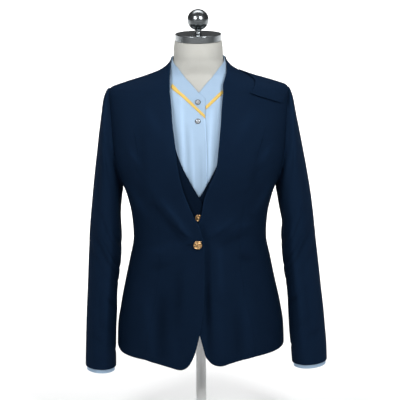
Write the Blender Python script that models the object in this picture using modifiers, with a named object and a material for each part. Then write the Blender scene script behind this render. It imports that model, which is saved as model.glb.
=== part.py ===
"""Airline crew uniform on a limbless dress form.

Collarless navy jacket over a dark waistcoat and a light blue blouse, all as thin cloth walls
round a dress form on a pole and a round base.  Lengths in this file are millimetres; the
functions that make meshes turn them into Blender's metres.  +Z is up, the front faces -Y and
the wearer's left is +X.  The origin is the middle of the base plate's underside.
"""

import math

import bmesh
import bpy
import numpy as np
from mathutils import Vector

MM = 0.001

# Heights above the floor and sizes that drive the rest
WAIST = 414.0
BASE_RADIUS = 120.0
BASE_THICKNESS = 10.0
POLE_RADIUS = 11.0
FLANGE_RADIUS = 34.0
SOCKET_RADIUS = 22.0
NECK_TOP = 425.0
CAP_RADIUS = 49.5
CAP_THICKNESS = 15.0
BALL_RADIUS = 23.0
BALL_STEM = 7.0
BALL_MIDDLE = 884.2
ARM_PLATE = 172.0
ARM_PLATE_EDGE = 7.0

# Cloth thickness, and the clearance that each cut edge keeps to its seam
JACKET_CLOTH = 1.6
VEST_CLOTH = 1.2
BLOUSE_CLOTH = 1.0
SEAM = 0.16

# Outer face of the jacket round the body.  Heights are measured from the waist.
# height, half width, front depth, back depth, squareness of the ring
BODY = (
    (-290, 181, 139, 131, 2.15),
    (-240, 182, 134, 129, 2.15),
    (-200, 181, 128, 126, 2.15),
    (-150, 173, 119, 119, 2.15),
    (-100, 163, 111, 110, 2.15),
    (-50, 152.5, 105.5, 99, 2.15),
    (0, 144, 104, 92, 2.2),
    (45, 147.5, 108, 92, 2.3),
    (90, 157, 114, 96, 2.4),
    (130, 172, 120.5, 99, 2.5),
    (165, 185, 122.5, 101, 2.5),
    (205, 192, 118, 102, 2.45),
    (250, 195, 105, 101, 2.35),
    (290, 195.5, 87, 94, 2.2),
    (312, 194.5, 77, 84, 2.1),
    (324, 190, 72, 77, 2.0),
    (337, 157, 66, 70, 2.0),
    (349, 117, 62, 63, 2.0),
    (361, 86, 58, 58, 2.0),
    (374, 68, 55.5, 55, 2.0),
    (388, 59.5, 54.5, 54.5, 2.0),
    (400, 59.5, 54.5, 54.5, 2.0),
)

# How far the outer face of each layer lies inside the jacket's outer face
# height, waistcoat, blouse, form
LAYERS = (
    (-290, 10.0, 18.0, 26.0),
    (-100, 7.5, 14.0, 22.0),
    (0, 5.5, 11.8, 18.0),
    (70, 5.0, 11.0, 17.0),
    (110, 4.6, 10.4, 16.5),
    (165, 4.4, 9.6, 16.0),
    (250, 4.6, 9.8, 16.0),
    (290, 5.0, 10.6, 17.0),
    (324, 5.4, 11.4, 18.0),
    (345, 5.2, 12.9, 19.0),
    (360, 4.7, 12.3, 17.8),
    (368, 3.8, 9.4, 14.0),
    (376, 3.3, 5.8, 9.6),
    (388, 3.2, 3.0, 6.7),
    (400, 3.2, 2.9, 6.6),
)

# The armhole is an oval on the body, from the shoulder tip to the underarm
ARMHOLE_MIDDLE = 217.0
ARMHOLE_HALF = 107.0
ARMHOLE_SWING = 19.0
ARM_STEPS = 20
PRINCESS_STEP = 6
BLOUSE_INSET = 5.0
SLEEVE_INSET = 0.45
RIM_RISE = 1.9
SHOULDER_STEPS = 6

# Front edges of the jacket, seen from the front: x, height.  The first point is the hem
# corner; the edge climbs to the neck beside the shoulder seam.
RIGHT_EDGE = (
    (-24, -258), (-14, -238), (-7, -213), (-1, -188), (5, -155), (8.5, -110), (9.5, -60),
    (9.5, -20), (7.5, 10), (-2.6, 46),
)
RIGHT_NECKLINE = (
    (-2.6, 46), (-13.9, 66), (-30.6, 107), (-38.8, 136), (-46.5, 175), (-50, 212),
    (-55.7, 257), (-61, 321), (-61.5, 358),
)
LEFT_EDGE = (
    (21, -255), (11, -242), (6, -226), (0, -203), (-6, -183), (-13, -150), (-17, -100),
    (-18, -50), (-17, -10), (-7, 36),
)
LEFT_NECKLINE = (
    (-7, 36), (3.8, 68), (9.4, 99), (19.4, 128), (34.9, 163), (41.5, 213), (46.9, 265),
    (51.7, 318), (55, 347),
)

# Hems, from the front corner round to the princess seam: x, height
RIGHT_HEM = ((-24, -258), (-33, -266), (-46, -269.5), (-67, -265), (-95, -259), (-120, -254))
LEFT_HEM = ((21, -255), (32, -260.5), (46, -262), (64, -257.5), (90, -252), (118, -248))
SIDE_HEM = -241.0
BACK_HEM = -238.0

# Princess seams, from the hem to the armhole: x, height
FRONT_PRINCESS = ((113, -200), (102, -150), (91, -80), (86, 0), (93, 75), (108, 125), (138, 165))
BACK_PRINCESS = ((108, -200), (96, -120), (80, -40), (76, 20), (90, 90), (120, 150), (152, 185))

# Sleeve of the wearer's right arm: rings from the shoulder to the cuff.  The outer point is
# the sleeve's outline away from the body, the inner point the outline beside it.
# outer x, outer height, inner x, inner height, how far the middle stands out, y of the
# middle, half depth, blend from the armhole (0) to the oval (1)
RIGHT_SLEEVE = (
    (200.5, 317, 164.5, 107, 9, 3, 52, 0.7),
    (205.5, 300, 165.5, 100, 11, 3, 59, 1.0),
    (209.5, 274, 167, 92, 10.5, 4, 63, 1.0),
    (214.5, 238, 168.5, 80, 8.5, 4, 64, 1.0),
    (220, 194, 170, 64, 5.5, 3, 63.5, 1.0),
    (226, 146, 171, 46, 2.5, 2, 62, 1.0),
    (231.5, 96, 169.5, 24, 1, 1, 60, 1.0),
    (236, 52, 168, 3, 0, 0, 58, 1.0),
    (239.5, 12, 168.8, -22, 0, -1, 56.5, 1.0),
    (241.5, -26, 171.5, -50, 0, -3, 55, 1.0),
    (243.5, -66, 175.5, -82, 0, -6, 53, 1.0),
    (245.5, -110, 179, -120, 0, -9, 51, 1.0),
    (248, -155, 181.5, -160, 0, -12, 49, 1.0),
    (250, -200, 184, -202, 0, -15, 47.5, 1.0),
    (251.5, -245, 185, -245, 0, -18, 46.5, 1.0),
    (252.5, -284, 185.5, -287, 0, -20, 46, 1.0),
)
LEFT_SLEEVE = (
    (199.5, 316, 164.5, 107, 9, 3, 52, 0.7),
    (204, 298, 165.5, 100, 11, 3, 59, 1.0),
    (209, 270, 167, 92, 10.5, 4, 63, 1.0),
    (216, 234, 169, 80, 8.5, 4, 64, 1.0),
    (224, 192, 171.5, 64, 5.5, 3, 63.5, 1.0),
    (233, 142, 175, 46, 2.5, 2, 62, 1.0),
    (240.5, 96, 177.5, 24, 1, 1, 60, 1.0),
    (246, 52, 175, 3, 0, 0, 58, 1.0),
    (250, 12, 175.5, -22, 0, -1, 56.5, 1.0),
    (254, -28, 179, -50, 0, -3, 55, 1.0),
    (258.5, -70, 182.5, -82, 0, -6, 53, 1.0),
    (263, -115, 187, -120, 0, -9, 51, 1.0),
    (268, -160, 190.5, -160, 0, -12, 49, 1.0),
    (271.5, -202, 192.5, -203, 0, -15, 47.5, 1.0),
    (274.5, -242, 196, -245, 0, -18, 46.5, 1.0),
    (275.5, -276, 199, -281, 0, -20, 46, 1.0),
)
CUFF_SHOWS = 8.0
CUFF_LENGTH = 62.0
CUFF_CLOTH = 1.4
CUFF_CLEARANCE = 3.0
BLOUSE_SLEEVE_CLEARANCE = 4.0

# Soft ridges of the jacket's cloth, each along a line: x and height of both ends, half
# width, rise.  The side is -1 on the front and +1 on the back.
RIDGES = (
    (-118, 150, -28, 22, 15, 2.6, -1),
    (-92, 70, -20, 10, 11, 1.8, -1),
    (60, 60, 14, 18, 12, 2.0, -1),
    (-70, -30, -18, 2, 11, 1.5, -1),
    (66, -40, 18, 0, 12, 1.5, -1),
    (-120, -110, -100, -262, 16, 3.2, -1),
    (-52, -150, -60, -270, 13, 2.4, -1),
    (96, -110, 104, -252, 16, 3.0, -1),
    (40, -140, 48, -262, 12, 2.0, -1),
    (-62, -90, -74, -238, 15, 3.2, 1),
    (40, -110, 46, -238, 14, 2.6, 1),
    (118, -80, 132, -238, 15, 2.8, 1),
    (-132, -120, -140, -238, 14, 2.6, 1),
    (-100, 20, -20, -6, 12, 2.0, 1),
    (104, 26, 26, -2, 12, 2.0, 1),
    (0, 330, 60, 318, 12, 1.6, 1),
    (-135, 255, -112, 130, 14, 2.0, 1),
    (138, 250, 112, 135, 14, 2.0, 1),
)

# Creases of the sleeves: turn round the sleeve (0 is outward, 90 forward), place along it
# as a share of its length, half turn, half length, depth
CREASES = (
    (140, 0.43, 46, 0.018, 4.0),
    (128, 0.50, 52, 0.016, 4.5),
    (150, 0.57, 44, 0.018, 3.5),
    (60, 0.47, 34, 0.020, 2.4),
    (230, 0.52, 44, 0.020, 3.0),
    (75, 0.18, 22, 0.060, 2.0),
    (285, 0.20, 24, 0.060, 2.2),
    (200, 0.74, 40, 0.022, 2.4),
    (110, 0.80, 36, 0.020, 2.0),
)

# Shoulder flap: its free edge seen from the front as x and height, the heights of both ends
# of its seam on the shoulder ridge, and the height of its outer face over the front
FLAP_EDGE = ((108.6, 319), (136, 309), (174, 294.5))
FLAP_SEAM = (360.5, 331)
FLAP_ROWS = 6
FLAP_COLUMNS = 8
FLAP_CLOTH = 1.5
FLAP_RISE = 3.6

# How far the cloth stands off beside the neckline, over the waistcoat's button and at the
# lap, and how far each layer below gives way under the lap
NECKLINE_RISE = 1.5
OVER_BUTTON_RISE = 3.0
LAP_RISE = 2.7
VEST_UNDER_LAP = 2.6
BLOUSE_UNDER_LAP = 2.2
FORM_UNDER_LAP = 5.0

# Bust cups of the cut: x, height, spread across, spread up, rise
CUPS = ((-80, 158, 44, 46, 4.0), (80, 158, 44, 46, 4.0))

JACKET_BUTTON = (-4.7, 0.0)
VEST_BUTTON = (-2.5, 58.0)
CRYSTALS = ((-2.0, 307.0), (-2.3, 268.8))
BUTTON_GAP = 0.3
JACKET_BUTTON_RADIUS = 9.35
VEST_BUTTON_RADIUS = 7.5
CRYSTAL_RADIUS = 6.0
# Half sections as radius and height: the metal buttons' in shares of the radius, with a
# raised rim, the crystals' in millimetres with flat facets
METAL_BUTTON = (
    (0, 0.42), (0.55, 0.40), (0.70, 0.31), (0.84, 0.36), (0.97, 0.31),
    (1.0, 0.22), (0.96, 0.08), (0.88, 0), (0, 0),
)
CRYSTAL_BUTTON = ((0, 3.4), (3.3, 3.3), (5.3, 2.0), (CRYSTAL_RADIUS, 0.9), (5.4, 0), (0, 0))


def clear_scene():
    for thing in list(bpy.data.objects):
        bpy.data.objects.remove(thing, do_unlink=True)


def monotone_slopes(xs, ys):
    """Slopes of a curve through a column that never swings past its own points."""
    steps = np.diff(ys) / np.diff(xs)
    slopes = np.zeros(len(xs))
    slopes[0] = steps[0]
    slopes[-1] = steps[-1]
    for i in range(1, len(xs) - 1):
        if steps[i - 1] * steps[i] > 0:
            slopes[i] = 2 * steps[i - 1] * steps[i] / (steps[i - 1] + steps[i])
    return slopes


class Table:
    """Columns of a section table, read at any height between its rows."""

    def __init__(self, rows):
        data = np.array(rows, float)
        self.keys = data[:, 0]
        self.columns = data[:, 1:].T
        self.slopes = [monotone_slopes(self.keys, column) for column in self.columns]

    def read(self, key):
        key = min(max(key, self.keys[0]), self.keys[-1])
        i = min(int(np.searchsorted(self.keys, key, side="right")) - 1, len(self.keys) - 2)
        span = self.keys[i + 1] - self.keys[i]
        t = (key - self.keys[i]) / span
        first = 2 * t**3 - 3 * t**2 + 1
        second = t**3 - 2 * t**2 + t
        third = 3 * t**2 - 2 * t**3
        fourth = t**3 - t**2
        return [
            first * column[i] + second * span * slope[i]
            + third * column[i + 1] + fourth * span * slope[i + 1]
            for column, slope in zip(self.columns, self.slopes)
        ]


body_table = Table(BODY)
layer_table = Table(LAYERS)


def smooth_step(low, high, value):
    t = min(max((value - low) / (high - low), 0.0), 1.0)
    return t * t * (3 - 2 * t)


def ring_value(point):
    """1 on the jacket's outer face, less inside it."""
    half, front, back, power = body_table.read(point[2])
    depth = front if point[1] < 0 else back
    return abs(point[0] / half) ** power + abs(point[1] / depth) ** power


def on_body(point):
    """The point moved level, to or from the body's axis, onto the jacket's outer face."""
    power = body_table.read(point[2])[3]
    grow = ring_value(point) ** (-1 / power)
    return np.array((point[0] * grow, point[1] * grow, point[2]))


def outward(point):
    """Unit normal of the jacket's outer face."""
    half, front, back, power = body_table.read(point[2])
    depth = front if point[1] < 0 else back
    tiny = 0.05
    above = ring_value((point[0], point[1], point[2] + tiny))
    below = ring_value((point[0], point[1], point[2] - tiny))
    across = power * abs(point[0] / half) ** (power - 1) / half * math.copysign(1, point[0])
    along = power * abs(point[1] / depth) ** (power - 1) / depth * math.copysign(1, point[1])
    normal = np.array((across, along, (above - below) / (2 * tiny)))
    return normal / np.linalg.norm(normal)


def seen_from(x, height, side):
    """Point of the jacket's outer face at x and a height: side -1 is the front, +1 the back."""
    half, front, back, power = body_table.read(height)
    depth = front if side < 0 else back
    share = min(abs(x / half), 1.0)
    return np.array((x, side * depth * (1 - share**power) ** (1 / power), height))


def at_turn(turn, height):
    """Point at a turn round the body: 0 is the front, 90 the wearer's left, 180 the back."""
    half, front, back, power = body_table.read(height)
    sine = math.sin(math.radians(turn))
    cosine = math.cos(math.radians(turn))
    depth = front if cosine > 0 else back
    x = half * math.copysign(abs(sine) ** (2 / power), sine)
    y = -depth * math.copysign(abs(cosine) ** (2 / power), cosine)
    return np.array((x, y, height))


def armhole(step, side, inset=0.0):
    """Point of the armhole; step 0 is the shoulder tip, a quarter forward is the front."""
    angle = 2 * math.pi * step / ARM_STEPS
    height = ARMHOLE_MIDDLE + (ARMHOLE_HALF - inset) * math.cos(angle)
    swing = (ARMHOLE_SWING - inset * 0.45) * math.sin(angle)
    return at_turn(side * (90 - swing), height)


def through(points, count):
    """Evenly spaced points on a smooth curve through the given ones."""
    points = [np.array(p, float) for p in points]
    dense = []
    for i in range(len(points) - 1):
        before = points[max(i - 1, 0)]
        after = points[min(i + 2, len(points) - 1)]
        for k in range(12):
            t = k / 12
            dense.append(0.5 * (
                2 * points[i] + (points[i + 1] - before) * t
                + (2 * before - 5 * points[i] + 4 * points[i + 1] - after) * t**2
                + (3 * points[i] - before - 3 * points[i + 1] + after) * t**3
            ))
    dense.append(points[-1])
    lengths = [0.0]
    for a, b in zip(dense, dense[1:]):
        lengths.append(lengths[-1] + float(np.linalg.norm(b - a)))
    result = []
    for i in range(count + 1):
        wanted = lengths[-1] * i / count
        k = min(int(np.searchsorted(lengths, wanted, side="right")) - 1, len(dense) - 2)
        share = (wanted - lengths[k]) / max(lengths[k + 1] - lengths[k], 1e-9)
        result.append(dense[k] + (dense[k + 1] - dense[k]) * share)
    return result


def front_line(pairs, count, side=-1):
    """Curve on the body through x and height pairs seen from the front or the back."""
    return [on_body(p) for p in through([seen_from(x, h, side) for x, h in pairs], count)]


def turn_line(pairs, count):
    """Curve on the body through turn and height pairs."""
    return [on_body(p) for p in through([at_turn(t, h) for t, h in pairs], count)]


def patch(bottom, top, left, right, project=True):
    """Grid of body points between four edges, as rows from the bottom edge to the top."""
    rows = len(left)
    columns = len(bottom)
    grid = []
    for i in range(rows):
        v = i / (rows - 1)
        row = []
        for j in range(columns):
            u = j / (columns - 1)
            across = (1 - u) * left[i] + u * right[i]
            along = (1 - v) * bottom[j] + v * top[j]
            corners = (
                (1 - v) * ((1 - u) * left[0] + u * right[0])
                + v * ((1 - u) * left[-1] + u * right[-1])
            )
            point = across + along - corners
            inner = 0 < i < rows - 1 and 0 < j < columns - 1
            row.append(on_body(point) if inner and project else point)
        grid.append(row)
    return grid


def turn_of(point):
    """Turn of a body point, the inverse of at_turn."""
    half, front, back, power = body_table.read(point[2])
    depth = front if point[1] < 0 else back
    sine = math.copysign(abs(point[0] / half) ** (power / 2), point[0])
    cosine = -math.copysign(abs(point[1] / depth) ** (power / 2), point[1])
    return math.degrees(math.atan2(sine, cosine))


def side_patch(bottom, top, left, right):
    """Patch round the body's side, spaced evenly in turn instead of in space."""
    def flat(points):
        return [np.array((turn_of(p), p[2], 0.0)) for p in points]

    grid = patch(flat(bottom), flat(top), flat(left), flat(right), project=False)
    rows = len(grid)
    columns = len(grid[0])
    for i in range(rows):
        for j in range(columns):
            grid[i][j] = at_turn(grid[i][j][0], grid[i][j][1])
    for i in range(rows):
        grid[i][0] = left[i]
        grid[i][-1] = right[i]
    grid[-1] = list(top)
    return grid


def bell(distance, width):
    return math.exp(-((distance / width) ** 2))


def line_distance(x, height, ends):
    """Distance from a line's run, and how near the middle of the run the place is."""
    ax, ah, bx, bh = ends
    dx = bx - ax
    dh = bh - ah
    t = ((x - ax) * dx + (height - ah) * dh) / (dx * dx + dh * dh)
    t = min(max(t, 0.0), 1.0)
    gap = math.hypot(x - ax - dx * t, height - ah - dh * t)
    return gap, math.sin(math.pi * (0.12 + 0.76 * t))


def cup_rise(point):
    if point[1] > 0:
        return 0.0
    return sum(
        rise * bell(point[0] - x, wide) * bell(point[2] - h, tall)
        for x, h, wide, tall, rise in CUPS
    )


def ridge_rise(point):
    """Height of the cloth's soft ridges over the plain body."""
    total = 0.0
    for ax, ah, bx, bh, width, rise, side in RIDGES:
        if side * point[1] > 0:
            gap, middle = line_distance(point[0], point[2], (ax, ah, bx, bh))
            total += rise * middle * bell(gap, width)
    return total


def edge_rise(point):
    """The fronts stand off the waistcoat beside the neckline, and ride over its button."""
    if point[1] > 0:
        return 0.0
    near = bell(max(abs(point[0]) - 30, 0), 24)
    band = smooth_step(-10, 40, point[2]) * (1 - smooth_step(210, 330, point[2]))
    over = bell(math.hypot(point[0] - VEST_BUTTON[0], point[2] - VEST_BUTTON[1] + 8), 24)
    return NECKLINE_RISE * near * band + OVER_BUTTON_RISE * over


def lap_rise(point):
    """Extra height of the wearer's right front where it laps over the left."""
    near = 1 - smooth_step(28, 70, abs(point[0]))
    low = 1 - smooth_step(60, 110, point[2])
    return LAP_RISE * near * low


def jacket_lift(point):
    return cup_rise(point) + ridge_rise(point) + edge_rise(point)


def right_front_lift(point):
    return jacket_lift(point) + lap_rise(point)


def vest_lift(point):
    return cup_rise(point) - layer_table.read(point[2])[0]


def under_lap(point):
    """Depth that an under layer gives way beneath the lap at the middle of the front."""
    if point[1] > 0:
        return 0.0
    return 1 - smooth_step(26, 52, abs(point[0]))


def left_vest_lift(point):
    low = 1 - smooth_step(110, 150, point[2])
    return vest_lift(point) - VEST_UNDER_LAP * under_lap(point) * low


def right_blouse_lift(point):
    low = 1 - smooth_step(90, 170, point[2])
    depth = layer_table.read(point[2])[1] + BLOUSE_UNDER_LAP * under_lap(point) * low
    return cup_rise(point) - depth


def left_blouse_lift(point):
    return right_blouse_lift(point) - BLOUSE_UNDER_LAP * under_lap(point)


def form_lift(point):
    depth = layer_table.read(point[2])[2] + FORM_UNDER_LAP * under_lap(point)
    return cup_rise(point) - depth


def lifted(point, rise):
    """World position of a body point moved out along the normal, in millimetres."""
    moved = point + outward(point) * rise
    return np.array((moved[0], moved[1], moved[2] + WAIST))


def inset_line(line, neighbours):
    """Moves that draw an edge line in, square to itself and towards its neighbour line."""
    moves = []
    for i, point in enumerate(line):
        along = line[min(i + 1, len(line) - 1)] - line[max(i - 1, 0)]
        along = along / np.linalg.norm(along)
        inward = neighbours[i] - point
        inward = inward - along * np.dot(inward, along)
        moves.append(inward / np.linalg.norm(inward) * SEAM)
    return moves


def inset_edges(grid):
    """Draw the outline of a grid in, so that pieces meet at a seam without touching."""
    rows = len(grid)
    columns = len(grid[0])
    drawn = [[p.copy() for p in row] for row in grid]
    for edge, inner in ((0, 1), (columns - 1, columns - 2)):
        moves = inset_line([row[edge] for row in grid], [row[inner] for row in grid])
        for i in range(rows):
            drawn[i][edge] = drawn[i][edge] + moves[i]
    for edge, inner in ((0, 1), (rows - 1, rows - 2)):
        moves = inset_line(grid[edge], grid[inner])
        for j in range(columns):
            drawn[edge][j] = drawn[edge][j] + moves[j]
    return drawn


def make_object(name, verts, faces, material, smooth=True):
    mesh = bpy.data.meshes.new(name)
    mesh.from_pydata([tuple(float(c) * MM for c in v) for v in verts], [], faces)
    mesh.update()
    if smooth:
        mesh.shade_smooth()
        mesh.set_sharp_from_angle(angle=math.radians(40))
    thing = bpy.data.objects.new(name, mesh)
    parts.objects.link(thing)
    mesh.materials.append(material)
    return thing


def face_out(thing):
    mesh = bmesh.new()
    mesh.from_mesh(thing.data)
    bmesh.ops.recalc_face_normals(mesh, faces=mesh.faces)
    if mesh.calc_volume(signed=True) < 0:
        bmesh.ops.reverse_faces(mesh, faces=mesh.faces)
    mesh.to_mesh(thing.data)
    mesh.free()


def cloth_wall(name, outer, inner, material, closed=False):
    """A wall between two grids of the same shape; closed joins the last column to the first."""
    rows = len(outer)
    columns = len(outer[0])
    verts = [p for row in outer for p in row] + [p for row in inner for p in row]
    offset = rows * columns
    faces = []
    across = columns if closed else columns - 1
    for i in range(rows - 1):
        for j in range(across):
            k = (j + 1) % columns
            a, b = i * columns + j, i * columns + k
            c, d = (i + 1) * columns + k, (i + 1) * columns + j
            faces.append((a, b, c, d))
            faces.append((offset + d, offset + c, offset + b, offset + a))
    for j in range(across):
        k = (j + 1) % columns
        a, b = j, k
        faces.append((b, a, offset + a, offset + b))
        a, b = (rows - 1) * columns + j, (rows - 1) * columns + k
        faces.append((a, b, offset + b, offset + a))
    if not closed:
        for i in range(rows - 1):
            a, b = i * columns, (i + 1) * columns
            faces.append((a, b, offset + b, offset + a))
            a, b = i * columns + columns - 1, (i + 1) * columns + columns - 1
            faces.append((b, a, offset + a, offset + b))
    thing = make_object(name, verts, faces, material)
    face_out(thing)
    return thing


def sew(name, grid, lift, cloth, material):
    """Cloth piece on a grid of body points: its outer face is at the lift, its wall inside."""
    grid = inset_edges(grid)
    outer = [[lifted(p, lift(p)) for p in row] for row in grid]
    inner = [[lifted(p, lift(p) - cloth) for p in row] for row in grid]
    return cloth_wall(name, outer, inner, material)


def mirrored(points):
    return [np.array((-p[0], p[1], p[2])) for p in points]


def front_princess(side, hem):
    pairs = [hem] + [(side * x, h) for x, h in FRONT_PRINCESS]
    points = [seen_from(x, h, -1) for x, h in pairs] + [armhole(PRINCESS_STEP, side)]
    return [on_body(p) for p in through(points, 13)]


def back_princess(side):
    pairs = [(side * 110, BACK_HEM)] + [(side * x, h) for x, h in BACK_PRINCESS]
    points = [seen_from(x, h, 1) for x, h in pairs]
    points.append(armhole(ARM_STEPS - PRINCESS_STEP, side))
    return [on_body(p) for p in through(points, 13)]


def halved(points, count):
    """The last steps of a line each cut in two, on the straight between their ends."""
    start = len(points) - 1 - count
    result = list(points[:start + 1])
    for a, b in zip(points[start:], points[start + 1:]):
        result += [(a + b) / 2, b]
    return result


def shoulder_seam(side, inner_height, outer_height, count):
    """Points on the shoulder ridge between two heights."""
    ends = [
        at_turn(side * 90, inner_height + (outer_height - inner_height) * i / 8)
        for i in range(9)
    ]
    return [at_turn(side * 90, p[2]) for p in through(ends, count)]


def jacket_front(side, edge, neckline, hem, material):
    """Front between the opening, the shoulder seam, the armhole and the princess seam."""
    princess = front_princess(side, hem[-1])
    arc = [armhole(step, side) for step in range(PRINCESS_STEP, -1, -1)]
    neck = [seen_from(x, h, -1) for x, h in neckline] + [at_turn(side * 90, 388)]
    left = front_line(edge, 9) + halved([on_body(p) for p in through(neck, 10)][1:], 2)
    right = princess + halved(arc, 2)[1:]
    bottom = front_line(hem, SHOULDER_STEPS)
    top = shoulder_seam(side, 388, ARMHOLE_MIDDLE + ARMHOLE_HALF, SHOULDER_STEPS)
    name = "jacket_front_left" if side > 0 else "jacket_front_right"
    lift = jacket_lift if side > 0 else right_front_lift
    return sew(name, patch(bottom, top, left, right), lift, JACKET_CLOTH, material)


def jacket_side(side, hem, material):
    front = front_princess(side, hem[-1])
    back = back_princess(side)
    steps = range(PRINCESS_STEP, ARM_STEPS - PRINCESS_STEP + 1)
    top = [armhole(step, side) for step in steps]
    bottom = [front[0], at_turn(side * 70, hem[-1][1] + 4), at_turn(side * 90, SIDE_HEM), back[0]]
    bottom = [on_body(p) for p in through(bottom, len(top) - 1)]
    name = "jacket_side_left" if side > 0 else "jacket_side_right"
    return sew(name, side_patch(bottom, top, front, back), jacket_lift, JACKET_CLOTH, material)


def jacket_back(side, material):
    princess = back_princess(side)
    arc = [armhole(step, side) for step in range(ARM_STEPS - PRINCESS_STEP, ARM_STEPS + 1)]
    right = princess + halved(arc, 2)[1:]
    centre = [seen_from(0, BACK_HEM + (391 - BACK_HEM) * i / 12, 1) for i in range(13)]
    left = [on_body(p) for p in through(centre, len(princess) + 5)]
    left = halved(left, 2)
    neck = turn_line([(side * 180, 391), (side * 135, 391), (side * 90, 388)], 4)
    top = neck + shoulder_seam(side, 388, ARMHOLE_MIDDLE + ARMHOLE_HALF, SHOULDER_STEPS)[1:]
    hem = [(0, BACK_HEM), (side * 60, BACK_HEM), (side * 110, BACK_HEM)]
    bottom = front_line(hem, len(top) - 1, side=1)
    name = "jacket_back_left" if side > 0 else "jacket_back_right"
    return sew(name, patch(bottom, top, left, right), jacket_lift, JACKET_CLOTH, material)


def level_rows(lows, highs, rows):
    """Rows of body points between a lower and an upper edge."""
    return [
        [on_body(low + (high - low) * i / rows) for low, high in zip(lows, highs)]
        for i in range(rows + 1)
    ]


def shoulder_flap(material):
    """Loose flap from the shoulder seam over the wearer's left front."""
    low = front_line(FLAP_EDGE, FLAP_COLUMNS)
    grid = level_rows(low, shoulder_seam(1, *FLAP_SEAM, FLAP_COLUMNS), FLAP_ROWS)
    outer = [[lifted(p, jacket_lift(p) + FLAP_RISE) for p in row] for row in grid]
    inner = [[lifted(p, jacket_lift(p) + FLAP_RISE - FLAP_CLOTH) for p in row] for row in grid]
    return cloth_wall("jacket_shoulder_flap", outer, inner, material)


def crease_depth(turn, along):
    total = 0.0
    for middle, place, half_turn, half_length, depth in CREASES:
        gap = (turn - middle + 180) % 360 - 180
        total += depth * bell(gap, half_turn) * bell(along - place, half_length)
    return total


def oval(ring, turn, draw_in):
    """Point of a sleeve ring, drawn in all round by a wall's depth."""
    outer_x, outer_h, inner_x, inner_h, stand_out, centre_y, depth, _ = ring
    length = math.hypot(outer_x - inner_x, outer_h - inner_h)
    keep = (length / 2 - draw_in) / length
    reach = math.cos(turn)
    x = (outer_x + inner_x) / 2 + (outer_x - inner_x) * keep * reach
    x += stand_out * math.sin(turn) ** 2
    height = (outer_h + inner_h) / 2 + (outer_h - inner_h) * keep * reach
    return np.array((x, centre_y - (depth - draw_in) * math.sin(turn), height))


def sleeve_points(rings, side, first, draw_in, creased=1.0):
    """Rings of a sleeve's outer face, from the armhole curve given as first."""
    grid = [first]
    for number, ring in enumerate(rings):
        row = []
        for step in range(ARM_STEPS):
            turn = 2 * math.pi * step / ARM_STEPS
            along = (number + 1) / len(rings)
            share = ring[7]
            deeper = draw_in + creased * crease_depth(math.degrees(turn), along)
            point = oval(ring, turn, deeper)
            point[0] *= side
            row.append(point * share + first[step] * (1 - share))
        grid.append(row)
    return grid


def wall_inside(grid, cloth):
    """Inner face of a closed sleeve, moved in along the outer face's own normals."""
    middle = [sum(row) / len(row) for row in grid]
    inner = []
    for i, row in enumerate(grid):
        above = grid[max(i - 1, 0)]
        below = grid[min(i + 1, len(grid) - 1)]
        inner_row = []
        for j, point in enumerate(row):
            ahead = row[(j + 1) % len(row)]
            behind = row[j - 1]
            normal = np.cross(ahead - behind, below[j] - above[j])
            normal /= np.linalg.norm(normal)
            if np.dot(normal, point - middle[i]) < 0:
                normal = -normal
            inner_row.append(point - normal * cloth)
        inner.append(inner_row)
    return inner


def in_world(grid):
    return [[p + np.array((0, 0, WAIST)) for p in row] for row in grid]


def armhole_rim(side, inset, rise):
    """Points of the armhole drawn in, at a height over the jacket's outer face."""
    line = [armhole(step, side, inset) for step in range(ARM_STEPS)]
    return [p + outward(p) * (jacket_lift(p) + rise) for p in line]


def jacket_sleeve(side, rings, material):
    grid = sleeve_points(rings, side, armhole_rim(side, SLEEVE_INSET, RIM_RISE), 0.0)
    inner = wall_inside(grid, JACKET_CLOTH)
    inner[0] = armhole_rim(side, SLEEVE_INSET, RIM_RISE - JACKET_CLOTH)
    name = "jacket_sleeve_left" if side > 0 else "jacket_sleeve_right"
    return cloth_wall(name, in_world(grid), in_world(inner), material, closed=True)


def build_jacket(cloth, gold):
    for side, edge, neckline, hem, rings in (
        (-1, RIGHT_EDGE, RIGHT_NECKLINE, RIGHT_HEM, RIGHT_SLEEVE),
        (1, LEFT_EDGE, LEFT_NECKLINE, LEFT_HEM, LEFT_SLEEVE),
    ):
        jacket_front(side, edge, neckline, hem, cloth)
        jacket_side(side, hem, cloth)
        jacket_back(side, cloth)
        jacket_sleeve(side, rings, cloth)
    shoulder_flap(cloth)
    metal_button("jacket_button", JACKET_BUTTON_RADIUS, JACKET_BUTTON, "jacket_front_right", gold)


def half_back(heights, neck, shoulder, side_seam, arc):
    """Grid of the left half of a back, from the centre line to side seam and armhole."""
    low, high = heights
    right = side_seam + arc[1:]
    steps = len(right) - 3
    left = [seen_from(0, low + (high - low) * i / steps, 1) for i in range(steps + 1)]
    left = halved(left, 2)
    top = neck + shoulder[1:]
    columns = len(top) - 1
    bottom = turn_line([(180 - 90 * i / columns, low) for i in range(columns + 1)], columns)
    return patch(bottom, top, left, right)


def both_halves(half):
    """Grid of a whole back from the grid of its half on the wearer's left."""
    return [mirrored(row[:0:-1]) + row for row in half]


def side_line(side, low, high, count):
    """Side seam straight up the body's side."""
    return [at_turn(side * 90, low + (high - low) * i / count) for i in range(count + 1)]


VEST_HEM = -118.0
VEST_UNDERARM = 92.0
VEST_SHOULDER = (367.0, 344.0)
VEST_EDGE = ((12, -118), (12, 40), (10, 78), (0.7, 100))
VEST_NECKLINE = ((0.7, 100), (-16.9, 132), (-33.4, 165), (-49.5, 207), (-60, 257), (-68, 310))
VEST_ARMHOLE = ((90, 92), (72, 118), (58, 165), (50, 220), (48, 275), (54, 318))


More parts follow.
